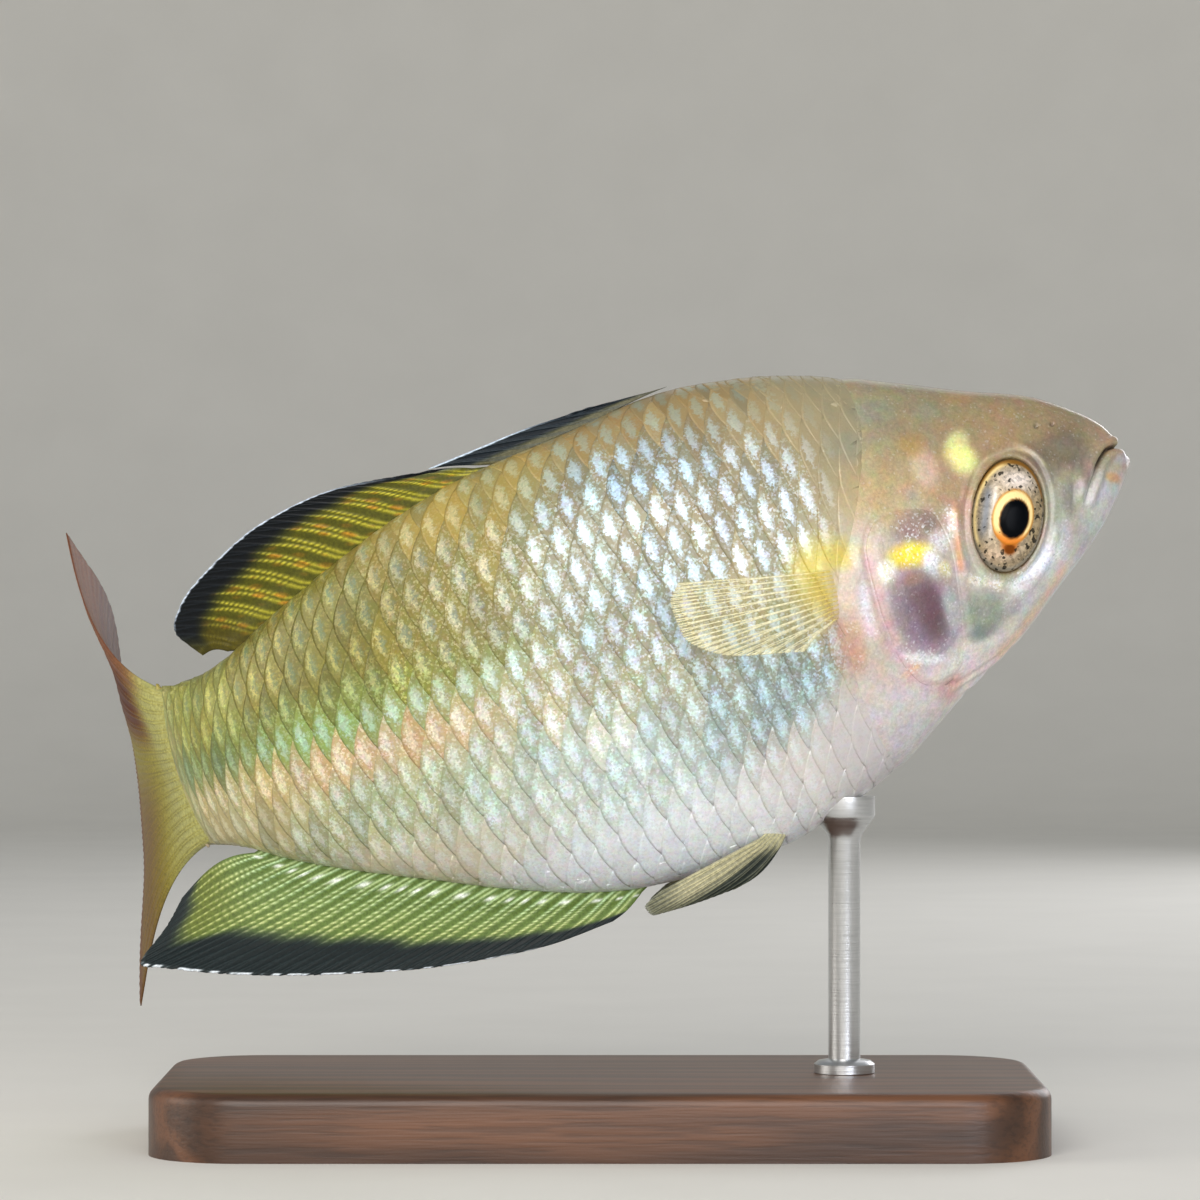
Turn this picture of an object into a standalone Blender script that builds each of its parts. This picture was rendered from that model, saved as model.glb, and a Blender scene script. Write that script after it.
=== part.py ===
# Australian rainbowfish turning in the water, life size, on a plain display stand.
# The fish heads along +X with its back up; its right side faces -Y. The origin is the middle
# of the stand's underside. Lengths in the tables are millimetres, and MM turns them to metres.
# A place on the fish is (station, side, height): the station runs back from the snout along
# the bent midline, the side is positive to the fish's left, and the height is off the midline.

import math

import bmesh
import bpy
from mathutils import Vector

MM = 0.001
GAP = 0.3  # clearance between touching pieces

# Pose
SNOUT = (40.06, 5.07, 51.13)
NOSE_UP = math.radians(17.5)
# How far the midline has turned towards the fish's left, in degrees, at stations along it
TURN = [(0, -12), (18, -9), (38, 0), (56, 13), (68, 29), (80, 49)]

# Body outline: heights of the back, the belly and the widest level, and the half width
BACK = [(0, 0.3), (0.5, 0.8), (0.75, 1.3), (0.9, 2.5), (1.8, 3.75), (3, 4.8), (6.1, 6.9), (10.8, 8.75),
        (16, 11.0), (21.5, 13.2), (27, 14.7), (33, 15.4), (41, 14.6), (49, 13.8), (55, 12.4), (61, 10.4),
        (67, 8.2), (72, 6.3), (75, 5.7), (78, 5.6), (80, 6.0)]
BELLY = [(0, -0.35), (0.6, -1.2), (1.5, -2.2), (4.0, -4.6), (8.4, -7.7), (12.8, -10.7), (18, -13.3),
         (21, -15.1), (24, -16.8), (29, -18.5), (34, -19.8), (40, -20.0), (45, -19.7), (49, -18.9),
         (55, -16.8), (61, -14.3), (67, -11.9), (72, -9.8), (75, -8.4), (78, -7.5), (80, -7.3)]
WIDEST = [(0, 0.0), (1.0, 0.5), (5, -0.2), (12, -0.8), (24, -1.0), (40, 0.0), (60, -0.8), (80, -0.8)]
HALF_WIDTH = [(0, 0.5), (0.8, 1.5), (2.5, 2.4), (5, 3.2), (8, 3.9), (12, 4.6), (16, 5.3), (20, 5.9),
              (26, 6.8), (34, 7.2), (42, 6.9), (50, 6.0), (58, 4.8), (66, 3.6), (74, 2.5), (80, 1.0)]
FULLNESS = [(0, 2.0), (6, 2.2), (16, 2.25), (30, 2.05), (60, 1.95), (80, 2.1)]  # 2 is an ellipse

HEAD_END = 20.2
TORSO_END = 62.0
BODY_END = 80.0
ROUND_STEPS = 36

EYE = {"station": 11.45, "height": -1.25, "length": 5.7, "tall": 8.75, "lean": 25, "bulge": 1.15, "deep": 2.6}
MOUTH = [(-1.5, 0.95), (0.7, 1.15), (1.3, 1.3), (1.9, 1.25), (2.6, 0.85), (3.2, 0.35), (3.7, -0.25),
         (4.3, -0.95), (4.8, -1.65), (5.4, -2.5)]
MOUTH_OPEN = 0.36
LIP_RADIUS = 0.36
NOSTRILS = [(5.6, 4.3), (6.9, 4.5)]
NOSTRIL_RADIUS = 0.32

# Gill cover: its front and rear edges from top to bottom, as (share of the way down, station, height)
COVER_FRONT = [(0, 17.8, 1.5), (0.1, 16.5, 0.4), (0.3, 16.1, -2.2), (0.55, 16.5, -5.4), (0.8, 17.0, -8.8),
               (0.93, 17.5, -10.6), (1, 18.4, -11.5)]
COVER_REAR = [(0, 19.6, 2.0), (0.1, 21.7, 1.1), (0.25, 22.8, -0.9), (0.5, 23.0, -4.5), (0.75, 22.7, -8.4),
              (0.9, 21.7, -10.9), (1, 20.0, -12.1)]
COVER_PROUD = 0.35
COVER_THICK = 0.95

# Fins. Each edge is a list of (share of the way along the base, station, height)
MEMBRANE = 0.5
RAY_RIDGE = 0.24  # how far a ray stands proud of each face of its membrane
TIP_THICKNESS = 0.26
DORSAL_1 = {"rays": 6, "rows": 4, "base": [(0, 33.6), (1, 47.5)], "bow": [(0, 0.05), (1, 0.1)],
            "tips": [(0, 38.2, 15.8), (0.3, 42.6, 15.85), (0.65, 47.4, 15.5), (1, 51.2, 15.2)]}
DORSAL_2 = {"rays": 13, "rows": 6, "base": [(0, 49.4), (1, 71.6)], "bow": [(0, 0.2), (0.6, 0.5), (1, 0.3)],
            "tips": [(0, 51.4, 15.2), (0.2, 59.0, 15.9), (0.4, 64.6, 15.2), (0.6, 69.6, 13.4),
                     (0.8, 73.8, 11.1), (0.93, 75.2, 9.2), (1, 73.8, 7.0)]}
ANAL = {"rays": 20, "rows": 6, "base": [(0, 45.4), (1, 75.2)], "bow": [(0, 0.2), (0.7, 0.2), (1, -0.9)],
        "tips": [(0, 48.2, -21.4), (0.08, 53.0, -21.7), (0.2, 60.0, -21.1), (0.4, 69.6, -19.2), (0.6, 78.4, -16.9),
                 (0.72, 84.0, -15.1), (0.81, 86.6, -14.2), (0.92, 84.4, -12.2), (1, 82.8, -10.4)]}
CAUDAL = {"rays": 17, "rows": 9, "root_thickness": 1.5,
          "length": [(0, 23.0), (0.12, 20.6), (0.3, 16.0), (0.5, 13.5), (0.7, 16.0), (0.88, 20.6), (1, 23.2)],
          "root_rise": [(0, 26), (0.25, 6), (1, -9)],
          "rise": [(0, 43), (0.125, 31), (0.25, 16), (0.375, 9), (0.5, 2), (0.75, -18), (1, -36)],
          "turn": [(0, 90), (0.125, 98), (0.25, 91), (0.375, 86), (0.5, 81), (0.75, 75), (1, 64)]}
PECTORAL = {"rays": 12, "rows": 6, "base": [(0, 26.0, -1.0), (1, 26.3, -4.8)], "away": 3.2, "bow": 0,
            "tips": [(0, 35.4, 1.0), (0.25, 37.0, -0.5), (0.5, 36.8, -2.6), (0.75, 34.0, -4.8),
                     (1, 29.0, -6.3)]}
PELVIC = {"rays": 6, "rows": 6, "base": [(0, 34.0, -19.1), (1, 35.6, -18.5)], "away": -0.6, "bow": -0.6,
          "tips": [(0, 38.6, -21.6), (0.3, 42.3, -21.8), (0.6, 44.9, -21.7), (0.85, 45.3, -20.9),
                   (1, 43.8, -20.1)]}

# Stand
BASE = {"length": 66, "depth": 34, "height": 5, "corner": 7, "edge": 0.9}
ROD = {"station": 29.0, "radius": 1.2, "pad_radius": 2.3, "pad_height": 2.4, "socket_depth": 2.0}

COLOURS = {
    "olive_back": ((0.42, 0.34, 0.20, 1), 0.40, 0.25),
    "silver_flank": ((0.62, 0.60, 0.50, 1), 0.30, 0.45),
    "gold_tail": ((0.58, 0.52, 0.30, 1), 0.34, 0.35),
    "gill_silver": ((0.66, 0.56, 0.54, 1), 0.28, 0.40),
    "eye_gold": ((0.60, 0.46, 0.22, 1), 0.10, 0.30),
    "fin_olive": ((0.22, 0.25, 0.12, 1), 0.45, 0.05),
    "fin_pink": ((0.55, 0.42, 0.30, 1), 0.45, 0.05),
    "fin_clear_yellow": ((0.72, 0.66, 0.38, 1), 0.40, 0.0),
    "walnut": ((0.16, 0.09, 0.05, 1), 0.45, 0.0),
    "brushed_steel": ((0.60, 0.60, 0.60, 1), 0.35, 1.0),
}


def clear_scene():
    for obj in list(bpy.data.objects):
        bpy.data.objects.remove(obj)


def through(table):
    """A smooth function of the table's first column that passes through its rows."""
    xs = [row[0] for row in table]
    ys = [row[1] for row in table]
    last = len(xs) - 1
    steps = [(ys[i + 1] - ys[i]) / (xs[i + 1] - xs[i]) for i in range(last)]
    slopes = [steps[0]]
    for before, after in zip(steps, steps[1:]):
        both_ways = before * after <= 0
        slopes.append(0.0 if both_ways else 2 * before * after / (before + after))
    slopes.append(steps[-1])

    def value(x):
        if x <= xs[0]:
            return ys[0] + slopes[0] * (x - xs[0])
        if x >= xs[-1]:
            return ys[-1] + slopes[-1] * (x - xs[-1])
        i = max(k for k in range(last) if xs[k] <= x)
        span = xs[i + 1] - xs[i]
        t = (x - xs[i]) / span
        rise = t * t * (3 - 2 * t)
        return (ys[i] * (1 - rise) + ys[i + 1] * rise
                + span * slopes[i] * t * (1 - t) ** 2 - span * slopes[i + 1] * t * t * (1 - t))

    return value


turn_at = through(TURN)
back_at = through(BACK)
belly_at = through(BELLY)
widest_at = through(WIDEST)
half_width_at = through(HALF_WIDTH)
fullness_at = through(FULLNESS)


def edge_curve(rows):
    """Station and height as functions of the share along an edge."""
    return through([(r[0], r[1]) for r in rows]), through([(r[0], r[2]) for r in rows])


def trace_midline(step=0.25):
    """Distance forward and sideways of the midline at each step, from the snout back."""
    points = [(0.0, 0.0)]
    for i in range(int(BODY_END / step) + 40):
        turn = math.radians(turn_at((i + 0.5) * step))
        ahead, aside = points[-1]
        points.append((ahead - step * math.cos(turn), aside + step * math.sin(turn)))
    return points, step


MIDLINE, MIDLINE_STEP = trace_midline()


def to_world(ahead, aside, height):
    """Millimetres in the fish's own straight axes to metres in the part's frame."""
    x = SNOUT[0] + ahead * math.cos(NOSE_UP) - height * math.sin(NOSE_UP)
    z = SNOUT[2] + ahead * math.sin(NOSE_UP) + height * math.cos(NOSE_UP)
    return Vector((x, SNOUT[1] + aside, z)) * MM


def place(station, side, height, run=0.0, run_turn=0.0):
    """A place on the fish. run goes on from there, tailward, turned by run_turn degrees."""
    i = min(max(int(station / MIDLINE_STEP), 0), len(MIDLINE) - 2)
    t = station / MIDLINE_STEP - i
    ahead = MIDLINE[i][0] + t * (MIDLINE[i + 1][0] - MIDLINE[i][0])
    aside = MIDLINE[i][1] + t * (MIDLINE[i + 1][1] - MIDLINE[i][1])
    turn = math.radians(turn_at(station))
    onward = math.radians(run_turn)
    return to_world(ahead + side * math.sin(turn) - run * math.cos(onward),
                    aside + side * math.cos(turn) + run * math.sin(onward), height)


def section_point(station, angle, grow=0.0):
    """Side and height of the body's skin at an angle round its section, 0 left and 90 up."""
    c, s = math.cos(angle), math.sin(angle)
    power = 2 / fullness_at(station)
    middle = widest_at(station)
    reach = back_at(station) + grow - middle if s > 0 else middle - belly_at(station) + grow
    side = math.copysign(abs(c) ** power, c) * (half_width_at(station) + grow)
    return side, middle + math.copysign(abs(s) ** power, s) * reach


def side_at(station, height):
    """How far out the skin is at a height on the flank."""
    middle = widest_at(station)
    reach = back_at(station) - middle if height > middle else middle - belly_at(station)
    share = min(abs(height - middle) / reach, 1.0)
    power = fullness_at(station)
    return half_width_at(station) * (1 - share ** power) ** (1 / power)


def on_skin(station, height, hand, out=0.0):
    """A place on the left (hand 1) or right (hand -1) flank, moved out along the skin's normal."""
    step = 0.05
    along = (side_at(station + step, height) - side_at(station - step, height)) / (2 * step)
    up = (side_at(station, height + step) - side_at(station, height - step)) / (2 * step)
    size = math.sqrt(1 + along * along + up * up)
    side = side_at(station, height) + out / size
    return place(station - out * along / size, hand * side, height - out * up / size)


def median_fin_middle(fin, edge_at, outward):
    """The middle surface of a fin rooted along the back or belly, leaning tailward. Like the other
    two below, it takes u along the base from 0 to 1 and v along the rays from root to tip."""
    base_at, bow_at = through(fin["base"]), through(fin["bow"])
    tip_station, tip_height = edge_curve(fin["tips"])

    def middle_at(u, v):
        root = base_at(u)
        root_height = edge_at(root) + outward * GAP
        bow = outward * bow_at(u) * math.sin(math.pi * v)
        height = root_height + (tip_height(u) - root_height) * v + bow
        return place(root, 0, height, (tip_station(u) - root) * v, turn_at(root) * (1 - 0.3 * v))

    return middle_at


def caudal_fin_middle():
    """The tail fin fans out from the body's end and curls on to the fish's left."""
    top, bottom = back_at(BODY_END) - 0.25, belly_at(BODY_END) + 0.25
    length_at, root_rise = through(CAUDAL["length"]), through(CAUDAL["root_rise"])
    rise_end, turn_end = through(CAUDAL["rise"]), through(CAUDAL["turn"])
    start = turn_at(BODY_END)
    steps = 10

    def middle_at(u, v):
        ahead = aside = 0.0
        height = top + (bottom - top) * u
        stride = length_at(u) * v / steps
        for i in range(steps):
            t = (i + 0.5) / steps * v
            rise = math.radians(rise_end(u) + (root_rise(u) - rise_end(u)) * (1 - t) ** 3)
            turn = math.radians(start + (turn_end(u) - start) * math.sin(math.pi / 2 * t))
            ahead += stride * math.cos(rise) * math.cos(turn)
            aside += stride * math.cos(rise) * math.sin(turn)
            height += stride * math.sin(rise)
        return place(BODY_END + GAP, 0, height, math.hypot(ahead, aside), math.degrees(math.atan2(aside, ahead)))

    return middle_at


def paired_fin_middle(fin, hand):
    """A fin on one flank, rooted just clear of the skin and leaning tailward."""
    base_station, base_height = edge_curve(fin["base"])
    tip_station, tip_height = edge_curve(fin["tips"])
    clearance = GAP + MEMBRANE / 2 + RAY_RIDGE

    def middle_at(u, v):
        station = base_station(u) + (tip_station(u) - base_station(u)) * v
        bow = fin["bow"] * (1 - u) * math.sin(math.pi * v)
        height = base_height(u) + (tip_height(u) - base_height(u)) * v + bow
        side = side_at(base_station(u), base_height(u)) + clearance + fin["away"] * v
        return place(station, hand * side, height)

    return middle_at


def make_material(name):
    colour, roughness, metallic = COLOURS[name]
    material = bpy.data.materials.get(name) or bpy.data.materials.new(name)
    material.use_nodes = True
    shader = material.node_tree.nodes["Principled BSDF"]
    shader.inputs["Base Color"].default_value = colour
    shader.inputs["Roughness"].default_value = roughness
    shader.inputs["Metallic"].default_value = metallic
    return material


def new_collection(name):
    collection = bpy.data.collections.new(name)
    bpy.context.scene.collection.children.link(collection)
    return collection


def object_from(name, bm, collection):
    mesh = bpy.data.meshes.new(name)
    bm.to_mesh(mesh)
    bm.free()
    mesh.shade_smooth()
    mesh.set_sharp_from_angle(angle=math.radians(35))
    obj = bpy.data.objects.new(name, mesh)
    collection.objects.link(obj)
    return obj


def loft(name, rings, collection):
    """A closed skin through rings of world points, with flat ends."""
    bm = bmesh.new()
    loops = [[bm.verts.new(p) for p in ring] for ring in rings]
    count = len(rings[0])
    for near, far in zip(loops, loops[1:]):
        for i in range(count):
            j = (i + 1) % count
            bm.faces.new((near[i], near[j], far[j], far[i]))
    bm.faces.new(loops[0][::-1])
    bm.faces.new(loops[-1])
    bmesh.ops.recalc_face_normals(bm, faces=bm.faces)
    return object_from(name, bm, collection)


def body_rings(stations, grow=0.0):
    angles = [2 * math.pi * i / ROUND_STEPS for i in range(ROUND_STEPS)]
    return [[place(s, *section_point(s, angle, grow)) for angle in angles] for s in stations]


def even_stations(start, end, pace):
    count = max(1, round((end - start) / pace))
    return [start + (end - start) * i / count for i in range(count + 1)]


def slab(name, outer, inner, collection):
    """A closed piece between two matching grids of points, both faces cut into like triangles."""
    rows, columns = len(outer), len(outer[0])
    bm = bmesh.new()
    sheets = [[[bm.verts.new(p) for p in row] for row in grid] for grid in (outer, inner)]
    for sheet in sheets:
        for r in range(rows - 1):
            for c in range(columns - 1):
                a, b = sheet[r][c], sheet[r][c + 1]
                d, e = sheet[r + 1][c], sheet[r + 1][c + 1]
                bm.faces.new((a, b, e))
                bm.faces.new((a, e, d))
    rim = [(0, c) for c in range(columns)]
    rim += [(r, columns - 1) for r in range(1, rows)]
    rim += [(rows - 1, c) for c in range(columns - 2, -1, -1)]
    rim += [(r, 0) for r in range(rows - 2, 0, -1)]
    for (r0, c0), (r1, c1) in zip(rim, rim[1:] + rim[:1]):
        first, second = sheets[0], sheets[1]
        bm.faces.new((first[r0][c0], first[r1][c1], second[r1][c1]))
        bm.faces.new((first[r0][c0], second[r1][c1], second[r0][c0]))
    bmesh.ops.recalc_face_normals(bm, faces=bm.faces)
    return object_from(name, bm, collection)


def vane(name, middle_at, fin, collection, root_thickness=MEMBRANE):
    """A fin: a thin membrane with a ridge along each ray on both faces."""
    columns = 2 * fin["rays"] + 1
    rows = fin["rows"]
    outer, inner = [], []
    for c in range(columns):
        u = c / (columns - 1)
        on_ray = c % 2 == 1
        faces = ([], [])
        for r in range(rows + 1):
            v = r / rows
            step = 0.01
            along = middle_at(min(u + step, 1), v) - middle_at(max(u - step, 0), v)
            outward = middle_at(u, min(v + step, 1)) - middle_at(u, max(v - step, 0))
            normal = along.cross(outward).normalized()
            near_root = max(0.0, 1 - v / 0.3)
            half = (MEMBRANE + (root_thickness - MEMBRANE) * near_root) / 2
            if on_ray:
                half += RAY_RIDGE * (1 - 0.6 * v)
            if r == rows:
                half = TIP_THICKNESS / 2
            point = middle_at(u, v)
            faces[0].append(point + normal * half * MM)
            faces[1].append(point - normal * half * MM)
        outer.append(faces[0])
        inner.append(faces[1])
    return slab(name, outer, inner, collection)


def gill_cover_grids(hand, margin, outside, inside):
    """Matching grids above and below the skin that follow the cover's outline, grown by margin."""
    front_station, front_height = edge_curve(COVER_FRONT)
    rear_station, rear_height = edge_curve(COVER_REAR)
    down_steps, along_steps = 14, 6
    grids = []
    for out in (outside, inside):
        grid = []
        for i in range(down_steps + 1):
            down = i / down_steps
            spread = margin * (2 * down - 1)
            row = []
            for j in range(along_steps + 1):
                back = j / along_steps
                station = (front_station(down) - margin) * (1 - back) + (rear_station(down) + margin) * back
                height = front_height(down) * (1 - back) + rear_height(down) * back - spread
                row.append(on_skin(station, height, hand, out))
            grid.append(row)
        grids.append(grid)
    return grids


def lip(name, above, collection):
    """A soft roll round the jaw, just above or below the mouth line."""
    line = through(MOUTH)
    shift = LIP_RADIUS + MOUTH_OPEN / 2
    stations = [5.9, 5.2, 4.5, 3.8, 3.1, 2.4, 1.8, 1.35]
    half = []
    for s in stations:
        height = line(s) + above * shift
        half.append((s, max(side_at(s, height) - 0.15, 0.0), height))
    front = 0.85 if above > 0 else 0.3
    front_height = line(front) + above * shift
    half.append((front + 0.25, side_at(front + 0.25, front_height) * 0.75, front_height))
    points = [(s, side, h) for s, side, h in half]
    points += [(front, 0.0, front_height)]
    points += [(s, -side, h) for s, side, h in reversed(half)]
    curve = bpy.data.curves.new(name, "CURVE")
    curve.dimensions = "3D"
    curve.bevel_depth = LIP_RADIUS * MM
    curve.bevel_resolution = 1
    curve.use_fill_caps = True
    spline = curve.splines.new("POLY")
    spline.points.add(len(points) - 1)
    for target, (s, side, h) in zip(spline.points, points):
        target.co = (*place(s, side, h), 1)
        target.radius = min(1.0, 0.55 + 0.25 * abs(6.4 - s))
    guide = bpy.data.objects.new(name, curve)
    collection.objects.link(guide)
    bpy.context.view_layer.update()
    mesh = bpy.data.meshes.new_from_object(guide.evaluated_get(bpy.context.evaluated_depsgraph_get()))
    bm = bmesh.new()
    bm.from_mesh(mesh)
    bmesh.ops.remove_doubles(bm, verts=bm.verts, dist=0.00001)
    bmesh.ops.recalc_face_normals(bm, faces=bm.faces)
    bm.to_mesh(mesh)
    bm.free()
    tube = bpy.data.objects.new(name, mesh)
    tube.matrix_world = guide.matrix_world
    bpy.data.objects.remove(guide)
    collection.objects.link(tube)
    return tube


def mouth_blade(collection):
    """A thin blade along the mouth line, right through the snout."""
    reach, half = 6.0, MOUTH_OPEN / 2
    bands = []
    for i, (s, h) in enumerate(MOUTH):
        before, after = MOUTH[max(i - 1, 0)], MOUTH[min(i + 1, len(MOUTH) - 1)]
        run, rise = after[0] - before[0], after[1] - before[1]
        size = math.hypot(run, rise)
        narrow = half * (0.5 if i == len(MOUTH) - 1 else 1.0)
        up_s, up_h = -rise / size * narrow, run / size * narrow
        bands.append([(s + up_s, h + up_h), (s - up_s, h - up_h)])
    rings = []
    for upper, lower in bands:
        corners = ((upper, reach), (upper, -reach), (lower, -reach), (lower, reach))
        rings.append([place(s, side, h) for (s, h), side in corners])
    return loft("mouth_blade", rings, collection)


def eye_ball(name, hand, grow, collection):
    """An eyeball set in the cheek. grow makes the larger one that cuts its orbit."""
    station, height, lean = EYE["station"], EYE["height"], math.radians(EYE["lean"])
    depth = (EYE["bulge"] + EYE["deep"]) / 2
    centre = side_at(station, height) + EYE["bulge"] - depth
    bpy.ops.mesh.primitive_uv_sphere_add(segments=24, ring_count=10, radius=1)
    ball = bpy.context.active_object
    ball.name = name
    ball.data.name = name
    for vertex in ball.data.vertices:
        ahead = vertex.co.x * (EYE["length"] / 2 + grow)
        up = vertex.co.y * (EYE["tall"] / 2 + grow)
        out = centre + vertex.co.z * (depth + grow)
        vertex.co = place(station - ahead * math.cos(lean) - up * math.sin(lean), hand * out,
                          height + up * math.cos(lean) - ahead * math.sin(lean))
    bm = bmesh.new()
    bm.from_mesh(ball.data)
    bmesh.ops.recalc_face_normals(bm, faces=bm.faces)
    bm.to_mesh(ball.data)
    bm.free()
    ball.data.shade_smooth()
    for owner in list(ball.users_collection):
        owner.objects.unlink(ball)
    collection.objects.link(ball)
    return ball


def nostril_cutter(station, height, hand, collection):
    bpy.ops.mesh.primitive_ico_sphere_add(subdivisions=1, radius=NOSTRIL_RADIUS * MM,
                                          location=on_skin(station, height, hand))
    cutter = bpy.context.active_object
    cutter.name = "nostril_cutter"
    for owner in list(cutter.users_collection):
        owner.objects.unlink(cutter)
    collection.objects.link(cutter)
    return cutter


def combine(target, others, operation):
    """Applies one Boolean of target with a collection of others, and removes them."""
    group = bpy.data.collections.new("others")
    bpy.context.scene.collection.children.link(group)
    for other in others:
        for owner in list(other.users_collection):
            owner.objects.unlink(other)
        group.objects.link(other)
    boolean = target.modifiers.new("combine", "BOOLEAN")
    boolean.operation = operation
    boolean.operand_type = "COLLECTION"
    boolean.collection = group
    boolean.solver = "EXACT"
    bpy.context.view_layer.objects.active = target
    bpy.ops.object.modifier_apply(modifier=boolean.name)
    for other in others:
        bpy.data.objects.remove(other)
    bpy.data.collections.remove(group)
    keep_largest(target)


def keep_largest(obj):
    """Leaves only the largest closed surface, in triangles."""
    bm = bmesh.new()
    bm.from_mesh(obj.data)
    left = set(bm.faces)
    groups = []
    while left:
        group, front = set(), [left.pop()]
        while front:
            face = front.pop()
            group.add(face)
            for edge in face.edges:
                for neighbour in edge.link_faces:
                    if neighbour in left:
                        left.remove(neighbour)
                        front.append(neighbour)
        groups.append(group)
    largest = max(groups, key=lambda g: sum(f.calc_area() for f in g))
    bmesh.ops.delete(bm, geom=[f for f in bm.faces if f not in largest], context="FACES")
    bmesh.ops.triangulate(bm, faces=bm.faces)
    bm.to_mesh(obj.data)
    bm.free()


def finish(obj, material):
    obj.data.materials.clear()
    obj.data.materials.append(make_material(material))


def build_head(fish, cutters):
    stations = [0, 0.25, 0.5, 0.75, 1.0, 1.4, 2.0, 2.8, 3.8, 5.0] + even_stations(6.2, HEAD_END, 1.2)
    head = loft("head", body_rings(stations), fish)
    combine(head, [lip("upper_lip", 1, cutters), lip("lower_lip", -1, cutters)], "UNION")
    hollows = [mouth_blade(cutters)]
    for hand in (1, -1):
        hollows.append(eye_ball("orbit", hand, GAP, cutters))
        hollows.append(slab("cover_pocket", *gill_cover_grids(hand, GAP, 1.5, COVER_PROUD - COVER_THICK - GAP),
                            cutters))
        hollows += [nostril_cutter(s, h, hand, cutters) for s, h in NOSTRILS]
    combine(head, hollows, "DIFFERENCE")
    finish(head, "olive_back")


def build_torso(fish, cutters):
    torso = loft("torso", body_rings(even_stations(HEAD_END + GAP, TORSO_END, 2.1)), fish)
    pockets = [slab("cover_pocket", *gill_cover_grids(hand, GAP, 1.5, COVER_PROUD - COVER_THICK - GAP), cutters)
               for hand in (1, -1)]
    combine(torso, pockets, "DIFFERENCE")
    finish(torso, "silver_flank")


def build_tail(fish):
    tail = loft("tail", body_rings(even_stations(TORSO_END + GAP, BODY_END, 1.6)), fish)
    finish(tail, "gold_tail")


def build_sides(fish):
    """The pieces that come in a left and a right."""
    for hand, word in ((1, "left"), (-1, "right")):
        finish(eye_ball("eye_" + word, hand, 0.0, fish), "eye_gold")
        grids = gill_cover_grids(hand, 0.0, COVER_PROUD, COVER_PROUD - COVER_THICK)
        finish(slab("gill_cover_" + word, *grids, fish), "gill_silver")
        pectoral, pelvic = paired_fin_middle(PECTORAL, hand), paired_fin_middle(PELVIC, hand)
        finish(vane("pectoral_fin_" + word, pectoral, PECTORAL, fish), "fin_clear_yellow")
        finish(vane("pelvic_fin_" + word, pelvic, PELVIC, fish), "fin_olive")


def build_median_fins(fish):
    for name, fin, edge_at, outward in (("dorsal_fin_first", DORSAL_1, back_at, 1),
                                        ("dorsal_fin_second", DORSAL_2, back_at, 1),
                                        ("anal_fin", ANAL, belly_at, -1)):
        finish(vane(name, median_fin_middle(fin, edge_at, outward), fin, fish), "fin_olive")
    caudal = vane("caudal_fin", caudal_fin_middle(), CAUDAL, fish, CAUDAL["root_thickness"])
    finish(caudal, "fin_pink")


def build_stand(stand, cutters):
    bpy.ops.mesh.primitive_cube_add(size=1, location=(0, 0, BASE["height"] / 2 * MM))
    base = bpy.context.active_object
    base.name = "stand_base"
    base.scale = (BASE["length"] * MM, BASE["depth"] * MM, BASE["height"] * MM)
    bpy.ops.object.transform_apply(location=True, rotation=False, scale=True)
    bm = bmesh.new()
    bm.from_mesh(base.data)
    upright = [e for e in bm.edges if abs(e.verts[0].co.z - e.verts[1].co.z) > 0.5 * BASE["height"] * MM]
    bmesh.ops.bevel(bm, geom=upright, offset=BASE["corner"] * MM, segments=6, profile=0.5, affect="EDGES")
    top = BASE["height"] * MM - 1e-6
    rim = [e for e in bm.edges if all(v.co.z > top for v in e.verts)]
    bmesh.ops.bevel(bm, geom=rim, offset=BASE["edge"] * MM, segments=2, profile=0.5, affect="EDGES")
    bm.to_mesh(base.data)
    bm.free()
    base.data.shade_smooth()
    base.data.set_sharp_from_angle(angle=math.radians(35))

    belly = place(ROD["station"], 0, belly_at(ROD["station"]))
    floor = (BASE["height"] - ROD["socket_depth"]) * MM
    socket = rod_solid("rod_socket", belly, floor, GAP, cutters)
    combine(base, [socket], "DIFFERENCE")
    finish(base, "walnut")

    rod = rod_solid("stand_rod", belly, floor + GAP * MM, 0.0, stand)
    near = even_stations(ROD["station"] - 7, ROD["station"] + 7, 1.0)
    combine(rod, [loft("belly_shape", body_rings(near, GAP), cutters)], "DIFFERENCE")
    finish(rod, "brushed_steel")

    for owner in list(base.users_collection):
        owner.objects.unlink(base)
    stand.objects.link(base)


def rod_solid(name, belly, foot, grow, collection):
    """A round rod with a flared pad on top, turned about a vertical axis under the belly."""
    top = belly.z + 1.5 * MM
    pad_foot = belly.z - ROD["pad_height"] * MM
    radius, pad = (ROD["radius"] + grow) * MM, (ROD["pad_radius"] + grow) * MM
    profile = [(0, top), (pad, top), (pad, belly.z - 0.8 * MM), (radius, pad_foot), (radius, foot), (0, foot)]
    bm = bmesh.new()
    verts = [bm.verts.new((r, 0, z)) for r, z in profile]
    for first, second in zip(verts, verts[1:]):
        bm.edges.new((first, second))
    obj = object_from(name, bm, collection)
    obj.location = (belly.x, belly.y, 0)
    screw = obj.modifiers.new("turn", "SCREW")
    screw.steps = screw.render_steps = 24
    screw.use_merge_vertices = True
    screw.merge_threshold = 0.00001
    bpy.context.view_layer.objects.active = obj
    bpy.ops.object.modifier_apply(modifier=screw.name)
    bm = bmesh.new()
    bm.from_mesh(obj.data)
    bmesh.ops.remove_doubles(bm, verts=bm.verts, dist=0.00001)
    bmesh.ops.recalc_face_normals(bm, faces=bm.faces)
    bm.to_mesh(obj.data)
    bm.free()
    return obj


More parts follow.
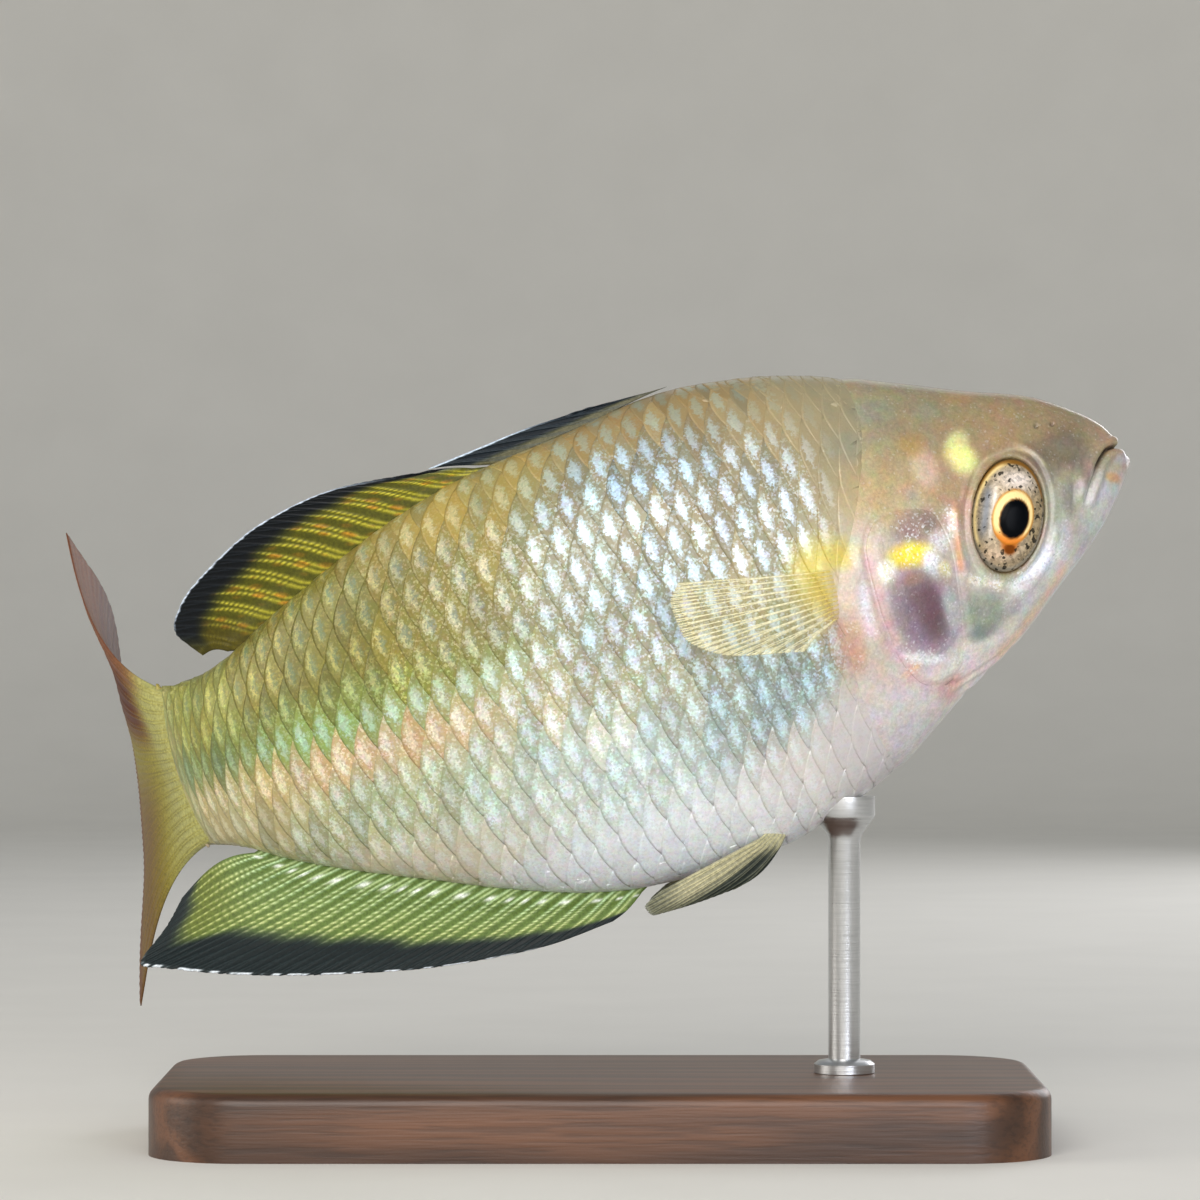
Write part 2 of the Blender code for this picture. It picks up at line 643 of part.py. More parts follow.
def main():
    clear_scene()
    fish = new_collection("australian_rainbowfish")
    stand = new_collection("display_stand")
    cutters = new_collection("cutters")
    build_head(fish, cutters)
    build_torso(fish, cutters)
    build_tail(fish)
    build_sides(fish)
    build_median_fins(fish)
    build_stand(stand, cutters)


main()
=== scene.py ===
# Australian rainbowfish in the middle of a turn, life size, on a plain display stand.
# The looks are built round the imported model, in its own frame. The fish heads along +X.
# Lengths in the dictionaries are millimetres and angles degrees; millimetre turns them to metres.
from functools import partial
import math

import bmesh
import bpy
import numpy as np
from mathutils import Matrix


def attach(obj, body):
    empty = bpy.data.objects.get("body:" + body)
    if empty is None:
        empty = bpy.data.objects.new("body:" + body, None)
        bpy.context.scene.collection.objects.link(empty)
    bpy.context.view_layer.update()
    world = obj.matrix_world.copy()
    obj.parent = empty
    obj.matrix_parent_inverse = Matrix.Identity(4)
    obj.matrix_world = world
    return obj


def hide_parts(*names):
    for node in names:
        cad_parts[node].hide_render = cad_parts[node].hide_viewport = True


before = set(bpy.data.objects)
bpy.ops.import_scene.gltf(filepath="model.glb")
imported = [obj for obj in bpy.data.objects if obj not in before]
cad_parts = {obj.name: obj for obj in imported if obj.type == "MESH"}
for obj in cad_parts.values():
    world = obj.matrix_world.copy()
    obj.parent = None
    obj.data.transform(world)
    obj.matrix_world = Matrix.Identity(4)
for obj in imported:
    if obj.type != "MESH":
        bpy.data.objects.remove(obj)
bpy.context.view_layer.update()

millimetre = 0.001
chance = np.random.default_rng(7)

print("stage: camera, lights and floor")

studio = {
    "cameraPlace": (0, -400, 40.5),
    "lens": 160,
    "floorColour": "#eceae4",
    "floorClouds": "#e4e2dc",
    "floorRadius": 560,
    "coveRadius": 180,
    "wallHeight": 160,
    "skyColour": "#e9edf0",
    "skyStrength": 0.35,
    "aimHeight": 45,
    # name: place, size, watts, colour; each points at the fish
    "lamps": {
        "keySoftbox": ((-90, -440, 220), 280, 1.5, "#fffaf4"),
        "fillSoftbox": ((170, -430, 110), 190, 0.68, "#f1f5ff"),
        "backSoftbox": ((60, 330, 300), 220, 0.1, "#ffffff"),
        "leftSoftbox": ((-330, -60, 120), 220, 0.4, "#fffaf2"),
        "farSoftbox": ((230, 350, 150), 200, 0.4, "#fbfbff"),
    },
}


def sharesOf(shade):
    # Red, green and blue as sRGB shares, from a hex colour
    return np.array([int(shade[i:i + 2], 16) / 255 for i in (1, 3, 5)])


def toLinear(shares):
    return np.where(shares <= 0.04045, shares / 12.92, ((shares + 0.055) / 1.055) ** 2.4)


def paint(shade):
    return (*toLinear(sharesOf(shade)), 1.0)


def feed(node, inputs):
    # Inputs that are another node's output are linked, others are set
    for name, value in inputs.items():
        if isinstance(value, bpy.types.NodeSocket):
            node.id_data.links.new(value, node.inputs[name])
        else:
            node.inputs[name].default_value = value


def addNode(material, kind, settings=None, inputs=None, output=0):
    node = material.node_tree.nodes.new(kind)
    for name, value in (settings or {}).items():
        setattr(node, name, value)
    feed(node, inputs or {})
    return node.outputs[output]


def newMaterial(name, inputs):
    # A material, its shader, and the function that adds a node to it
    material = bpy.data.materials.new(name)
    material.use_nodes = True
    shader = material.node_tree.nodes["Principled BSDF"]
    feed(shader, inputs)
    return material, shader, partial(addNode, material)


def freshPrimitive(adder, name, **settings):
    bpy.ops.object.select_all(action="DESELECT")
    adder(**settings)
    piece = bpy.context.active_object
    piece.name = piece.data.name = name
    return piece


def applyModifier(piece, kind, **settings):
    bpy.context.view_layer.objects.active = piece
    modifier = piece.modifiers.new(kind.lower(), kind)
    for name, value in settings.items():
        setattr(modifier, name, value)
    bpy.ops.object.modifier_apply(modifier=modifier.name)


def pointsOf(piece):
    points = np.empty(len(piece.data.vertices) * 3)
    piece.data.vertices.foreach_get("co", points)
    return points.reshape(-1, 3)


def movePoints(piece, points):
    piece.data.vertices.foreach_set("co", np.asarray(points, np.float32).ravel())
    piece.data.update()


def faceOutwards(piece):
    mesh = bmesh.new()
    mesh.from_mesh(piece.data)
    bmesh.ops.recalc_face_normals(mesh, faces=mesh.faces)
    mesh.to_mesh(piece.data)
    mesh.free()


def paintPoints(piece, name, colours):
    # Colours are sRGB shares, one for each vertex
    linear = np.ones((len(colours), 4), np.float32)
    linear[:, :3] = toLinear(colours)
    layer = piece.data.attributes.new(name, "FLOAT_COLOR", "POINT")
    layer.data.foreach_set("color", linear.ravel())


def markPoints(piece, name, values):
    layer = piece.data.attributes.new(name, "FLOAT", "POINT")
    layer.data.foreach_set("value", np.asarray(values, np.float32))


def dress(piece, material, nodes=()):
    piece.data.materials.clear()
    piece.data.materials.append(material)
    piece.data.shade_smooth()
    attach(piece, "root")
    if nodes:
        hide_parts(*nodes)


def makeCamera():
    camera = bpy.data.objects.new("camera", bpy.data.cameras.new("camera"))
    bpy.context.scene.collection.objects.link(camera)
    camera.location = np.array(studio["cameraPlace"]) * millimetre
    camera.rotation_euler = (math.radians(90), 0, 0)
    camera.data.lens = studio["lens"]
    camera.data.sensor_width = 36
    camera.data.clip_start = 0.01
    camera.data.clip_end = 20
    bpy.context.scene.camera = camera


def makeLights():
    for name, (place, size, watts, colour) in studio["lamps"].items():
        data = bpy.data.lights.new(name, "AREA")
        data.size = size * millimetre
        data.energy = watts
        data.color = paint(colour)[:3]
        lamp = bpy.data.objects.new(name, data)
        bpy.context.scene.collection.objects.link(lamp)
        lamp.location = np.array(place) * millimetre
        back = lamp.location.copy()
        back.z -= studio["aimHeight"] * millimetre
        lamp.rotation_euler = back.to_track_quat("Z", "Y").to_euler()
    world = bpy.data.worlds.new("studioSky")
    world.use_nodes = True
    sky = world.node_tree.nodes["Background"].inputs
    sky["Color"].default_value = paint(studio["skyColour"])
    sky["Strength"].default_value = studio["skyStrength"]
    bpy.context.scene.world = world
    bpy.context.scene.view_settings.view_transform = "Standard"


def makeFloor():
    # Matt paper, flat under the fish and curving up to a wall all round it
    floor = freshPrimitive(bpy.ops.mesh.primitive_grid_add, "paperFloor", size=2, x_subdivisions=96,
                           y_subdivisions=48)
    points = pointsOf(floor)
    turn = (points[:, 0] + 1) * math.pi
    flat, bendRadius = studio["floorRadius"], studio["coveRadius"]
    quarter = bendRadius * math.pi / 2
    along = (points[:, 1] + 1) / 2 * (flat + quarter + studio["wallHeight"])
    bend = np.clip((along - flat) / quarter, 0, 1) * math.pi / 2
    out = np.minimum(along, flat) + bendRadius * np.sin(bend)
    z = bendRadius * (1 - np.cos(bend)) + np.maximum(along - flat - quarter, 0)
    movePoints(floor, np.stack([out * np.cos(turn), out * np.sin(turn), z], axis=1) * millimetre)
    applyModifier(floor, "WELD", merge_threshold=0.0001)
    floor.data.shade_smooth()
    material, shader, add = newMaterial("mattPaper", {"Roughness": 0.85})
    place = add("ShaderNodeTexCoord", output="Object")
    # faint clouds about 17 mm across
    clouds = add("ShaderNodeTexNoise", None, {"Vector": place, "Scale": 60.0, "Detail": 3.0})
    shades = {0: clouds, 6: paint(studio["floorColour"]), 7: paint(studio["floorClouds"])}
    feed(shader, {"Base Color": add("ShaderNodeMix", {"data_type": "RGBA"}, shades, 2)})
    floor.data.materials.append(material)


makeCamera()
makeLights()
makeFloor()

print("stage: the shape of the body")

# How the fish is bent and how its body is rounded, in millimetres and degrees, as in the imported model
fishPose = {
    "snout": (40.06, 5.07, 51.13),
    "noseUp": 17.5,
    "turn": [(0, -12), (18, -9), (38, 0), (56, 13), (68, 29), (80, 49)],
}
bodyShape = {
    "back": [(0, 0.3), (0.5, 0.8), (0.75, 1.3), (0.9, 2.5), (1.8, 3.75), (3, 4.8), (6.1, 6.9), (10.8, 8.75),
             (16, 11.0), (21.5, 13.2), (27, 14.7), (33, 15.4), (41, 14.6), (49, 13.8), (55, 12.4), (61, 10.4),
             (67, 8.2), (72, 6.3), (75, 5.7), (78, 5.6), (80, 6.0)],
    "belly": [(0, -0.35), (0.6, -1.2), (1.5, -2.2), (4.0, -4.6), (8.4, -7.7), (12.8, -10.7), (18, -13.3),
              (21, -15.1), (24, -16.8), (29, -18.5), (34, -19.8), (40, -20.0), (45, -19.7), (49, -18.9),
              (55, -16.8), (61, -14.3), (67, -11.9), (72, -9.8), (75, -8.4), (78, -7.5), (80, -7.3)],
    "widest": [(0, 0.0), (1.0, 0.5), (5, -0.2), (12, -0.8), (24, -1.0), (40, 0.0), (60, -0.8), (80, -0.8)],
    "halfWidth": [(0, 0.5), (0.8, 1.5), (2.5, 2.4), (5, 3.2), (8, 3.9), (12, 4.6), (16, 5.3), (20, 5.9),
                  (26, 6.8), (34, 7.2), (42, 6.9), (50, 6.0), (58, 4.8), (66, 3.6), (74, 2.5), (80, 1.0)],
    "fullness": [(0, 2.0), (6, 2.2), (16, 2.25), (30, 2.05), (60, 1.95), (80, 2.1)],
    "end": 80.0,
}


def smoothTable(rows):
    # A smooth curve through the rows that never overshoots them, straight beyond its ends
    xs = np.array([row[0] for row in rows], float)
    ys = np.array([row[1] for row in rows], float)
    steps = np.diff(ys) / np.diff(xs)
    slopes = [steps[0]]
    for before, after in zip(steps, steps[1:]):
        slopes.append(0.0 if before * after <= 0 else 2 * before * after / (before + after))
    slopes = np.array(slopes + [steps[-1]])

    def value(x):
        x = np.asarray(x, float)
        i = np.clip(np.searchsorted(xs, x, side="right") - 1, 0, len(xs) - 2)
        span = xs[i + 1] - xs[i]
        t = np.clip((x - xs[i]) / span, 0, 1)
        rise = t * t * (3 - 2 * t)
        inside = (ys[i] * (1 - rise) + ys[i + 1] * rise
                  + span * slopes[i] * t * (1 - t) ** 2 - span * slopes[i + 1] * t * t * (1 - t))
        return inside + slopes[0] * np.minimum(x - xs[0], 0) + slopes[-1] * np.maximum(x - xs[-1], 0)

    return value


turnAt = smoothTable(fishPose["turn"])
backAt = smoothTable(bodyShape["back"])
bellyAt = smoothTable(bodyShape["belly"])
widestAt = smoothTable(bodyShape["widest"])
halfWidthAt = smoothTable(bodyShape["halfWidth"])
fullnessAt = smoothTable(bodyShape["fullness"])

midlineStep = 0.25
midlineTurns = np.radians(turnAt((np.arange(360) + 0.5) * midlineStep))
midlineAhead = np.concatenate([[0], -np.cumsum(midlineStep * np.cos(midlineTurns))])
midlineAside = np.concatenate([[0], np.cumsum(midlineStep * np.sin(midlineTurns))])


def fishPlace(station, side, height, run=0.0, runTurn=0.0):
    # Millimetres along, beside and above the bent midline to millimetres in the model's frame
    i = np.clip((np.asarray(station, float) / midlineStep).astype(int), 0, len(midlineAhead) - 2)
    t = station / midlineStep - i
    turn, onward = np.radians(turnAt(station)), np.radians(runTurn)
    ahead = midlineAhead[i] + t * (midlineAhead[i + 1] - midlineAhead[i])
    aside = midlineAside[i] + t * (midlineAside[i + 1] - midlineAside[i])
    ahead = ahead + side * np.sin(turn) - run * np.cos(onward)
    aside = aside + side * np.cos(turn) + run * np.sin(onward)
    noseUp = math.radians(fishPose["noseUp"])
    x, y, z = fishPose["snout"]
    return np.stack([x + ahead * math.cos(noseUp) - height * math.sin(noseUp), y + aside,
                     z + ahead * math.sin(noseUp) + height * math.cos(noseUp)], axis=-1)


def reachAt(station, upper):
    # How far the skin goes from the widest level to the back, or else to the belly
    middle = widestAt(station)
    return np.where(upper, backAt(station) - middle, middle - bellyAt(station))


def skinSection(station, angle):
    # Side and height of the skin at an angle round the body, 0 on the left flank and 90 degrees on the back
    c, s = np.cos(angle), np.sin(angle)
    power = 2 / fullnessAt(station)
    return (np.sign(c) * np.abs(c) ** power * halfWidthAt(station),
            widestAt(station) + np.sign(s) * np.abs(s) ** power * reachAt(station, s > 0))


def reachShare(station, height):
    # 0 at the widest level and 1 at the back or belly
    middle = widestAt(station)
    return np.clip(np.abs(height - middle) / reachAt(station, height > middle), 0, 1)


def sideAt(station, height):
    power = fullnessAt(station)
    return halfWidthAt(station) * (1 - reachShare(station, height) ** power) ** (1 / power)


def skinPoint(station, angle, out=0.0):
    # A place on the skin, moved out along its normal, in millimetres
    def base(s, a):
        side, height = skinSection(s, a)
        return fishPlace(s, side, height)

    along = base(station + 0.04, angle) - base(station - 0.04, angle)
    around = base(station, angle + 0.004) - base(station, angle - 0.004)
    normal = np.cross(along, around)
    normal /= np.maximum(np.linalg.norm(normal, axis=-1, keepdims=True), 1e-9)
    return base(station, angle) + normal * np.asarray(out)[..., None]


def softStep(low, high, x):
    t = np.clip((x - low) / (high - low), 0, 1)
    return t * t * (3 - 2 * t)


def hump(x, width):
    return np.exp(-(x / width) ** 2)


def alongCurve(share, start, end):
    # 1 along most of a curve, falling to 0 at both its ends
    return softStep(0, start, share) * (1 - softStep(end, 1, share))


def curveDistance(curve, station, height):
    # Distance from a smooth curve through (station, height) rows, and how far along it the nearest place is
    rows = np.array(curve, float)
    ends = np.arange(len(rows))
    fine = np.linspace(0, len(rows) - 1, 12 * (len(rows) - 1) + 1)
    xs = smoothTable(list(zip(ends, rows[:, 0])))(fine)
    ys = smoothTable(list(zip(ends, rows[:, 1])))(fine)
    best = np.full(np.shape(station), 1e9)
    share = np.zeros(np.shape(station))
    for i in range(len(fine) - 1):
        dx, dy = xs[i + 1] - xs[i], ys[i + 1] - ys[i]
        t = np.clip(((station - xs[i]) * dx + (height - ys[i]) * dy) / (dx * dx + dy * dy), 0, 1)
        gap = np.hypot(station - xs[i] - t * dx, height - ys[i] - t * dy)
        nearer = gap < best
        best = np.where(nearer, gap, best)
        share = np.where(nearer, (i + t) / (len(fine) - 1), share)
    return best, share


def edgeCurve(rows):
    return smoothTable([(r[0], r[1]) for r in rows]), smoothTable([(r[0], r[2]) for r in rows])


def finely(rows, count=40):
    # Close places along an edge
    stationAt, heightAt = edgeCurve(rows)
    shares = np.linspace(0, 1, count)
    return list(zip(stationAt(shares), heightAt(shares)))


# Marks at (station, height) on either flank. Zones have a place, half sizes and a colour, and blend into one
# another; spots and lines are laid over them, later ones over earlier ones
skinZones = {
    "lipsAndSnout": ((1.5, 1.5), (2.5, 2.0), "#a48d72"),
    "lowerJaw": ((3.0, -2.5), (3.5, 2.2), "#c1c2c5"),
    "forehead": ((7.0, 6.0), (5.0, 2.6), "#988564"),
    "noseSide": ((5.6, 2.0), (2.0, 1.6), "#645b4e"),
    "cheekFront": ((6.6, -1.5), (1.6, 2.6), "#a29b8a"),
    "overEye": ((11.5, 5.6), (4.0, 2.0), "#a58b67"),
    "nape": ((15.5, 7.5), (4.0, 3.0), "#90886a"),
    "napeRear": ((21.0, 10.0), (4.0, 4.0), "#9d9273"),
    "behindEye": ((15.6, 2.0), (1.6, 2.2), "#a98b6c"),
    "shoulder": ((20.0, 3.6), (3.0, 2.4), "#b59d70"),
    "cheek": ((14.5, -6.6), (2.6, 2.4), "#a9a8a0"),
    "jawSide": ((9.0, -7.0), (3.5, 2.0), "#c6c8cc"),
    "throat": ((17.0, -11.0), (4.0, 2.4), "#e4d8d6"),
    "coverBase": ((19.8, -5.0), (3.6, 4.5), "#bba9a6"),
    "breast": ((27.0, -14.5), (6.0, 5.0), "#c9c3c8"),
    "behindCover": ((25.4, -5.5), (2.2, 4.0), "#c2a798"),
    "flank": ((38.0, -2.0), (14.0, 8.0), "#c6c2a8"),
    "bellySide": ((44.0, -15.0), (14.0, 5.0), "#ccccc2"),
    "back": ((40.0, 14.0), (14.0, 4.0), "#a09a7a"),
    "tailBack": ((66.0, 6.0), (12.0, 5.0), "#9f8d45"),
    "tailLow": ((70.0, -8.0), (12.0, 4.0), "#bda98a"),
}
headSpots = [
    # name, place, half sizes, turn, colour, strength, sparkle
    ("yellowGreenSpot", (13.55, 4.0), (1.15, 1.45), -20, "#f8f59c", 0.95, 0.25),
    ("yellowGreenSpotTop", (13.3, 5.2), (1.0, 0.8), -20, "#dfe8a0", 0.7, 0.2),
    ("pinkPatch", (16.5, 4.0), (1.1, 1.7), 0, "#dcbca8", 0.7, 0.1),
    ("greyBlueNape", (14.8, 8.0), (1.1, 0.6), 10, "#8f917d", 0.5, 0.0),
    ("greyBlueTop", (18.6, 9.2), (2.0, 1.0), 12, "#8a8f80", 0.55, 0.0),
    ("ochreNape", (16.8, 6.0), (1.2, 1.0), 0, "#a9894f", 0.5, 0.05),
    ("greyBlueRear", (21.6, 7.2), (1.4, 1.2), 0, "#8b9184", 0.5, 0.05),
    ("orangeTop", (11.8, 8.3), (1.6, 0.6), 8, "#b98d5e", 0.45, 0.0),
    ("greyShoulder", (18.2, 2.1), (0.8, 0.9), 0, "#a9a48c", 0.6, 0.2),
    ("violetBehindEye", (14.6, -1.2), (0.6, 2.3), 8, "#b99a98", 0.6, 0.2),
    ("speckledPatch", (18.6, 0.0), (2.0, 1.2), 0, "#8b7a72", 0.85, 0.5),
    ("speckledFront", (15.9, -0.4), (0.6, 1.3), 0, "#c9bdb6", 0.6, 1.0),
    ("greenCheek", (15.4, -7.8), (1.8, 1.6), -20, "#8b9685", 0.9, 0.15),
    ("greenCheekLow", (16.0, -9.0), (1.3, 0.6), -10, "#768276", 0.7, 0.1),
    ("darkUnderGlint", (13.2, -7.9), (1.1, 0.6), -20, "#8e938b", 0.6, 0.1),
    ("paleJaw", (7.6, -3.9), (0.8, 1.7), 30, "#cbd0d5", 0.6, 0.45),
    ("lilacCheek", (13.0, -7.8), (0.8, 0.6), 0, "#b3a2ad", 0.6, 0.2),
    ("mouthShade", (6.2, -1.2), (0.7, 1.7), 15, "#86857c", 0.7, 0.1),
    # painted shade in the corner of the mouth
    ("mouthCornerShade", (4.5, -0.1), (0.35, 0.9), 20, "#7f7166", 0.7, 0.0),
    ("noseShade", (5.4, 2.4), (1.3, 0.7), 20, "#857d6a", 0.6, 0.0),
    ("greenNose", (5.9, 0.2), (0.7, 0.9), 20, "#a3a07c", 0.5, 0.1),
    ("orangeLip", (2.1, -0.95), (0.8, 0.4), 30, "#c99468", 0.8, 0.0),
    ("jawTip", (0.9, 0.2), (0.9, 0.5), 0, "#adb3bd", 0.7, 0.1),
    ("whiteCheek", (12.2, -7.0), (1.5, 0.7), -15, "#cfd4d8", 0.5, 0.4),
    ("throatPink", (19.3, -12.2), (1.3, 0.9), -20, "#c59a90", 0.7, 0.2),
    ("throatWhite", (17.8, -10.2), (1.6, 0.9), -20, "#dcdbd8", 0.6, 0.5),
    ("coverLilac", (20.2, -8.4), (2.2, 1.6), 0, "#c9bcc6", 0.6, 0.7),
    ("goldPatch", (19.6, -1.9), (1.8, 1.0), 10, "#f7dc3c", 1.0, 0.4),
    # painted glints: small white and cream highlights round the gold patch
    ("glintBehindGold", (21.7, -2.5), (0.75, 0.9), 0, "#f1efdd", 0.9, 0.8),
    ("glintBeforeGold", (18.3, -2.9), (0.75, 1.2), 0, "#f0f1f6", 0.95, 0.8),
    ("glintFront", (17.2, -1.5), (0.8, 0.9), 0, "#e9e8ee", 0.8, 0.8),
    ("creamGlintFront", (17.5, -3.6), (0.55, 0.7), 0, "#efe8b0", 0.8, 0.7),
    ("purplePatch", (19.9, -6.2), (2.6, 3.3), -6, "#7d6b7a", 1.0, 0.14),
    ("purpleCore", (19.6, -5.7), (1.1, 2.7), -6, "#634a50", 0.9, 0.05),
    ("purpleTop", (20.0, -3.6), (0.9, 0.5), 0, "#8f6f5d", 0.7, 0.1),
    # painted glints: a white and a gold highlight along the gill cover's lower rim
    ("glintUnderPurple", (21.0, -9.4), (1.9, 0.45), 20, "#f2f0f4", 0.85, 0.7),
    ("goldGlintUnder", (22.0, -10.0), (0.8, 0.3), -20, "#ecd09a", 0.8, 0.6),
    ("lilacCoverFront", (17.8, -6.6), (0.7, 2.2), 0, "#b4b6b4", 0.8, 0.3),
]
rearSpots = [
    ("pinkShoulder", (26.0, -7.0), (1.2, 2.4), 0, "#b98a76", 0.7, 0.3),
    ("goldShoulder", (25.0, 0.0), (1.9, 1.2), 30, "#cdbb50", 0.9, 0.2),
    ("whiteShoulder", (23.6, -0.9), (0.45, 1.3), 0, "#f0eff2", 0.35, 0.3),
]
skinLines = [
    # name, curve through (station, height), half width, colour, strength, sparkle
    ("orangeBehindEye", [(15.2, 0.9), (15.75, -1.2), (16.35, -4.4)], 0.24, "#dca078", 0.85, 0.1),
    # painted glints: a white highlight along the ridge under the eye, and dots of it further back
    ("underEyeGlint", [(8.0, -4.3), (8.8, -5.0), (10.2, -5.5), (11.9, -6.1), (12.7, -7.0)], 0.5, "#f2f8ff",
     0.95, 0.9),
    ("underEyeGlintDots", [(13.2, -6.1), (14.0, -5.8), (15.0, -5.3), (16.1, -4.7)], 0.45, "#f2eddc", 0.85,
     1.0),
    ("jawBand", [(7.4, -5.9), (9.6, -7.6), (12.4, -9.7), (15.5, -11.4)], 0.5, "#e2c1a2", 0.75, 0.2),
    ("paleFoldOverEye", [(13.2, 2.2), (11.6, 3.3), (9.7, 3.45), (8.0, 2.6), (7.2, 1.2)], 0.16, "#c6b698",
     0.7, 0.0),
    ("whiteBehindCover", [(23.6, -2.6), (23.9, -4.6), (24.1, -7.0)], 0.5, "#e2dce8", 0.75, 0.5),
]


def blendZones(zones, station, height, least=1e-7):
    # Each colour, as three shares, and each number of the zones, mixed by how near the zones are
    total, values = np.zeros(np.shape(station)), 0
    for place, size, *marks in zones.values():
        row = np.concatenate([sharesOf(mark) if isinstance(mark, str) else [mark] for mark in marks])
        weight = np.exp(-((station - place[0]) / size[0]) ** 2 - ((height - place[1]) / size[1]) ** 2) + least
        values = values + weight[..., None] * row
        total += weight
    return values / total[..., None]


def tint(colour, shade, amount):
    colour += (sharesOf(shade) - colour) * amount[..., None]


def layOver(colour, sparkle, shade, amount, shine):
    tint(colour, shade, amount)
    sparkle += (shine - sparkle) * amount


def ellipseRadius(x, y, place, half, turn=0.0):
    # 1 on the ellipse, less inside it and more outside
    c, s = math.cos(math.radians(turn)), math.sin(math.radians(turn))
    dx, dy = x - place[0], y - place[1]
    return np.hypot((dx * c + dy * s) / half[0], (dy * c - dx * s) / half[1])


def spotAmount(spot, station, height):
    name, place, half, turn, shade, strength, shine = spot
    return strength * (1 - softStep(0.4, 1.4, ellipseRadius(station, height, place, half, turn)))


def skinColours(station, height, spots):
    # Colour, and how much it sparkles, of the bare skin at a place on either flank
    colour = blendZones(skinZones, station, height)
    sparkle = np.full(np.shape(station), 0.12)
    for name, curve, width, shade, strength, shine in skinLines:
        gap, share = curveDistance(curve, station, height)
        amount = strength * hump(gap, width) * (0.25 + 0.75 * alongCurve(share, 0.12, 0.88))
        layOver(colour, sparkle, shade, amount, shine)
    for spot in spots:
        layOver(colour, sparkle, spot[4], spotAmount(spot, station, height), spot[6])
    return colour, sparkle


head = {
    "eyePlace": (11.45, -1.25),
    "eyeHalf": (2.85, 4.375),
    "eyeLean": 25,
    "eyeBulge": 1.15,
    "eyeDeep": 2.6,
    "socketDepth": 2.4,
    "mouth": [(-1.5, 0.95), (0.7, 1.15), (1.3, 1.3), (1.9, 1.25), (2.6, 0.85), (3.2, 0.35), (3.7, -0.25),
              (4.3, -0.95), (4.8, -1.65), (5.4, -2.5)],
    "mouthDepth": 0.6,
    "lipHeight": 0.26,
    "jawBone": [(3.4, 2.6), (4.6, 1.4), (5.6, -0.4), (6.3, -2.4)],
    "nostrils": [(5.6, 4.3), (6.9, 4.5)],
    "coverTop": [(17.8, 1.5), (19.6, 2.0)],
    "coverFront": [(0, 17.8, 1.5), (0.1, 16.5, 0.4), (0.3, 16.1, -2.2), (0.55, 16.5, -5.4), (0.8, 17.0, -8.8),
                   (0.93, 17.5, -10.6), (1, 18.4, -11.5)],
    "coverRear": [(0, 19.6, 2.0), (0.1, 21.7, 1.1), (0.25, 22.8, -0.9), (0.5, 23.0, -4.5), (0.75, 22.7, -8.4),
                  (0.9, 21.7, -10.9), (1, 20.0, -12.1)],
    "preopercle": [(15.0, 1.4), (15.5, -0.6), (16.05, -3.6), (16.5, -6.4), (16.6, -8.6), (15.7, -10.0),
                   (13.8, -9.9), (11.8, -8.4), (9.8, -6.9)],
    "throatFold": [(20.5, -12.0), (18.2, -11.5), (15.6, -10.9), (12.5, -9.9)],
    "throatFoldPace": [(1.1, 0.65), (1, 0.7), (1, 0.62), (0, 0.4)],
    "scaleDepth": 0.3,
}
coverFrontLine, coverRearLine = finely(head["coverFront"]), finely(head["coverRear"])


def eyePlane(station, height):
    # Millimetres ahead of and above the eye's middle, in the plane of its rim, and 1 on the rim
    c, s = math.cos(math.radians(head["eyeLean"])), math.sin(math.radians(head["eyeLean"]))
    back, above = station - head["eyePlace"][0], height - head["eyePlace"][1]
    ahead, up = -back * c - above * s, above * c - back * s
    return ahead, up, np.hypot(ahead / head["eyeHalf"][0], up / head["eyeHalf"][1])


def nostrilGap(place, station, height):
    return np.hypot(station - place[0], (height - place[1]) * 1.25)


# The station where the scales begin, for each height
headLimit = smoothTable([(-22, 20.5), (-14, 24.5), (-10, 25.0), (-4, 24.8), (-1.5, 24.0), (0.5, 22.6),
                         (3, 21.2), (6, 19.8), (9, 18.8), (14, 18.4)])


def scaledShare(station, height):
    # 1 where the body is scaled, 0 on the bare head and the strip behind the gill cover
    return softStep(-0.4, 2.6, station - headLimit(height))


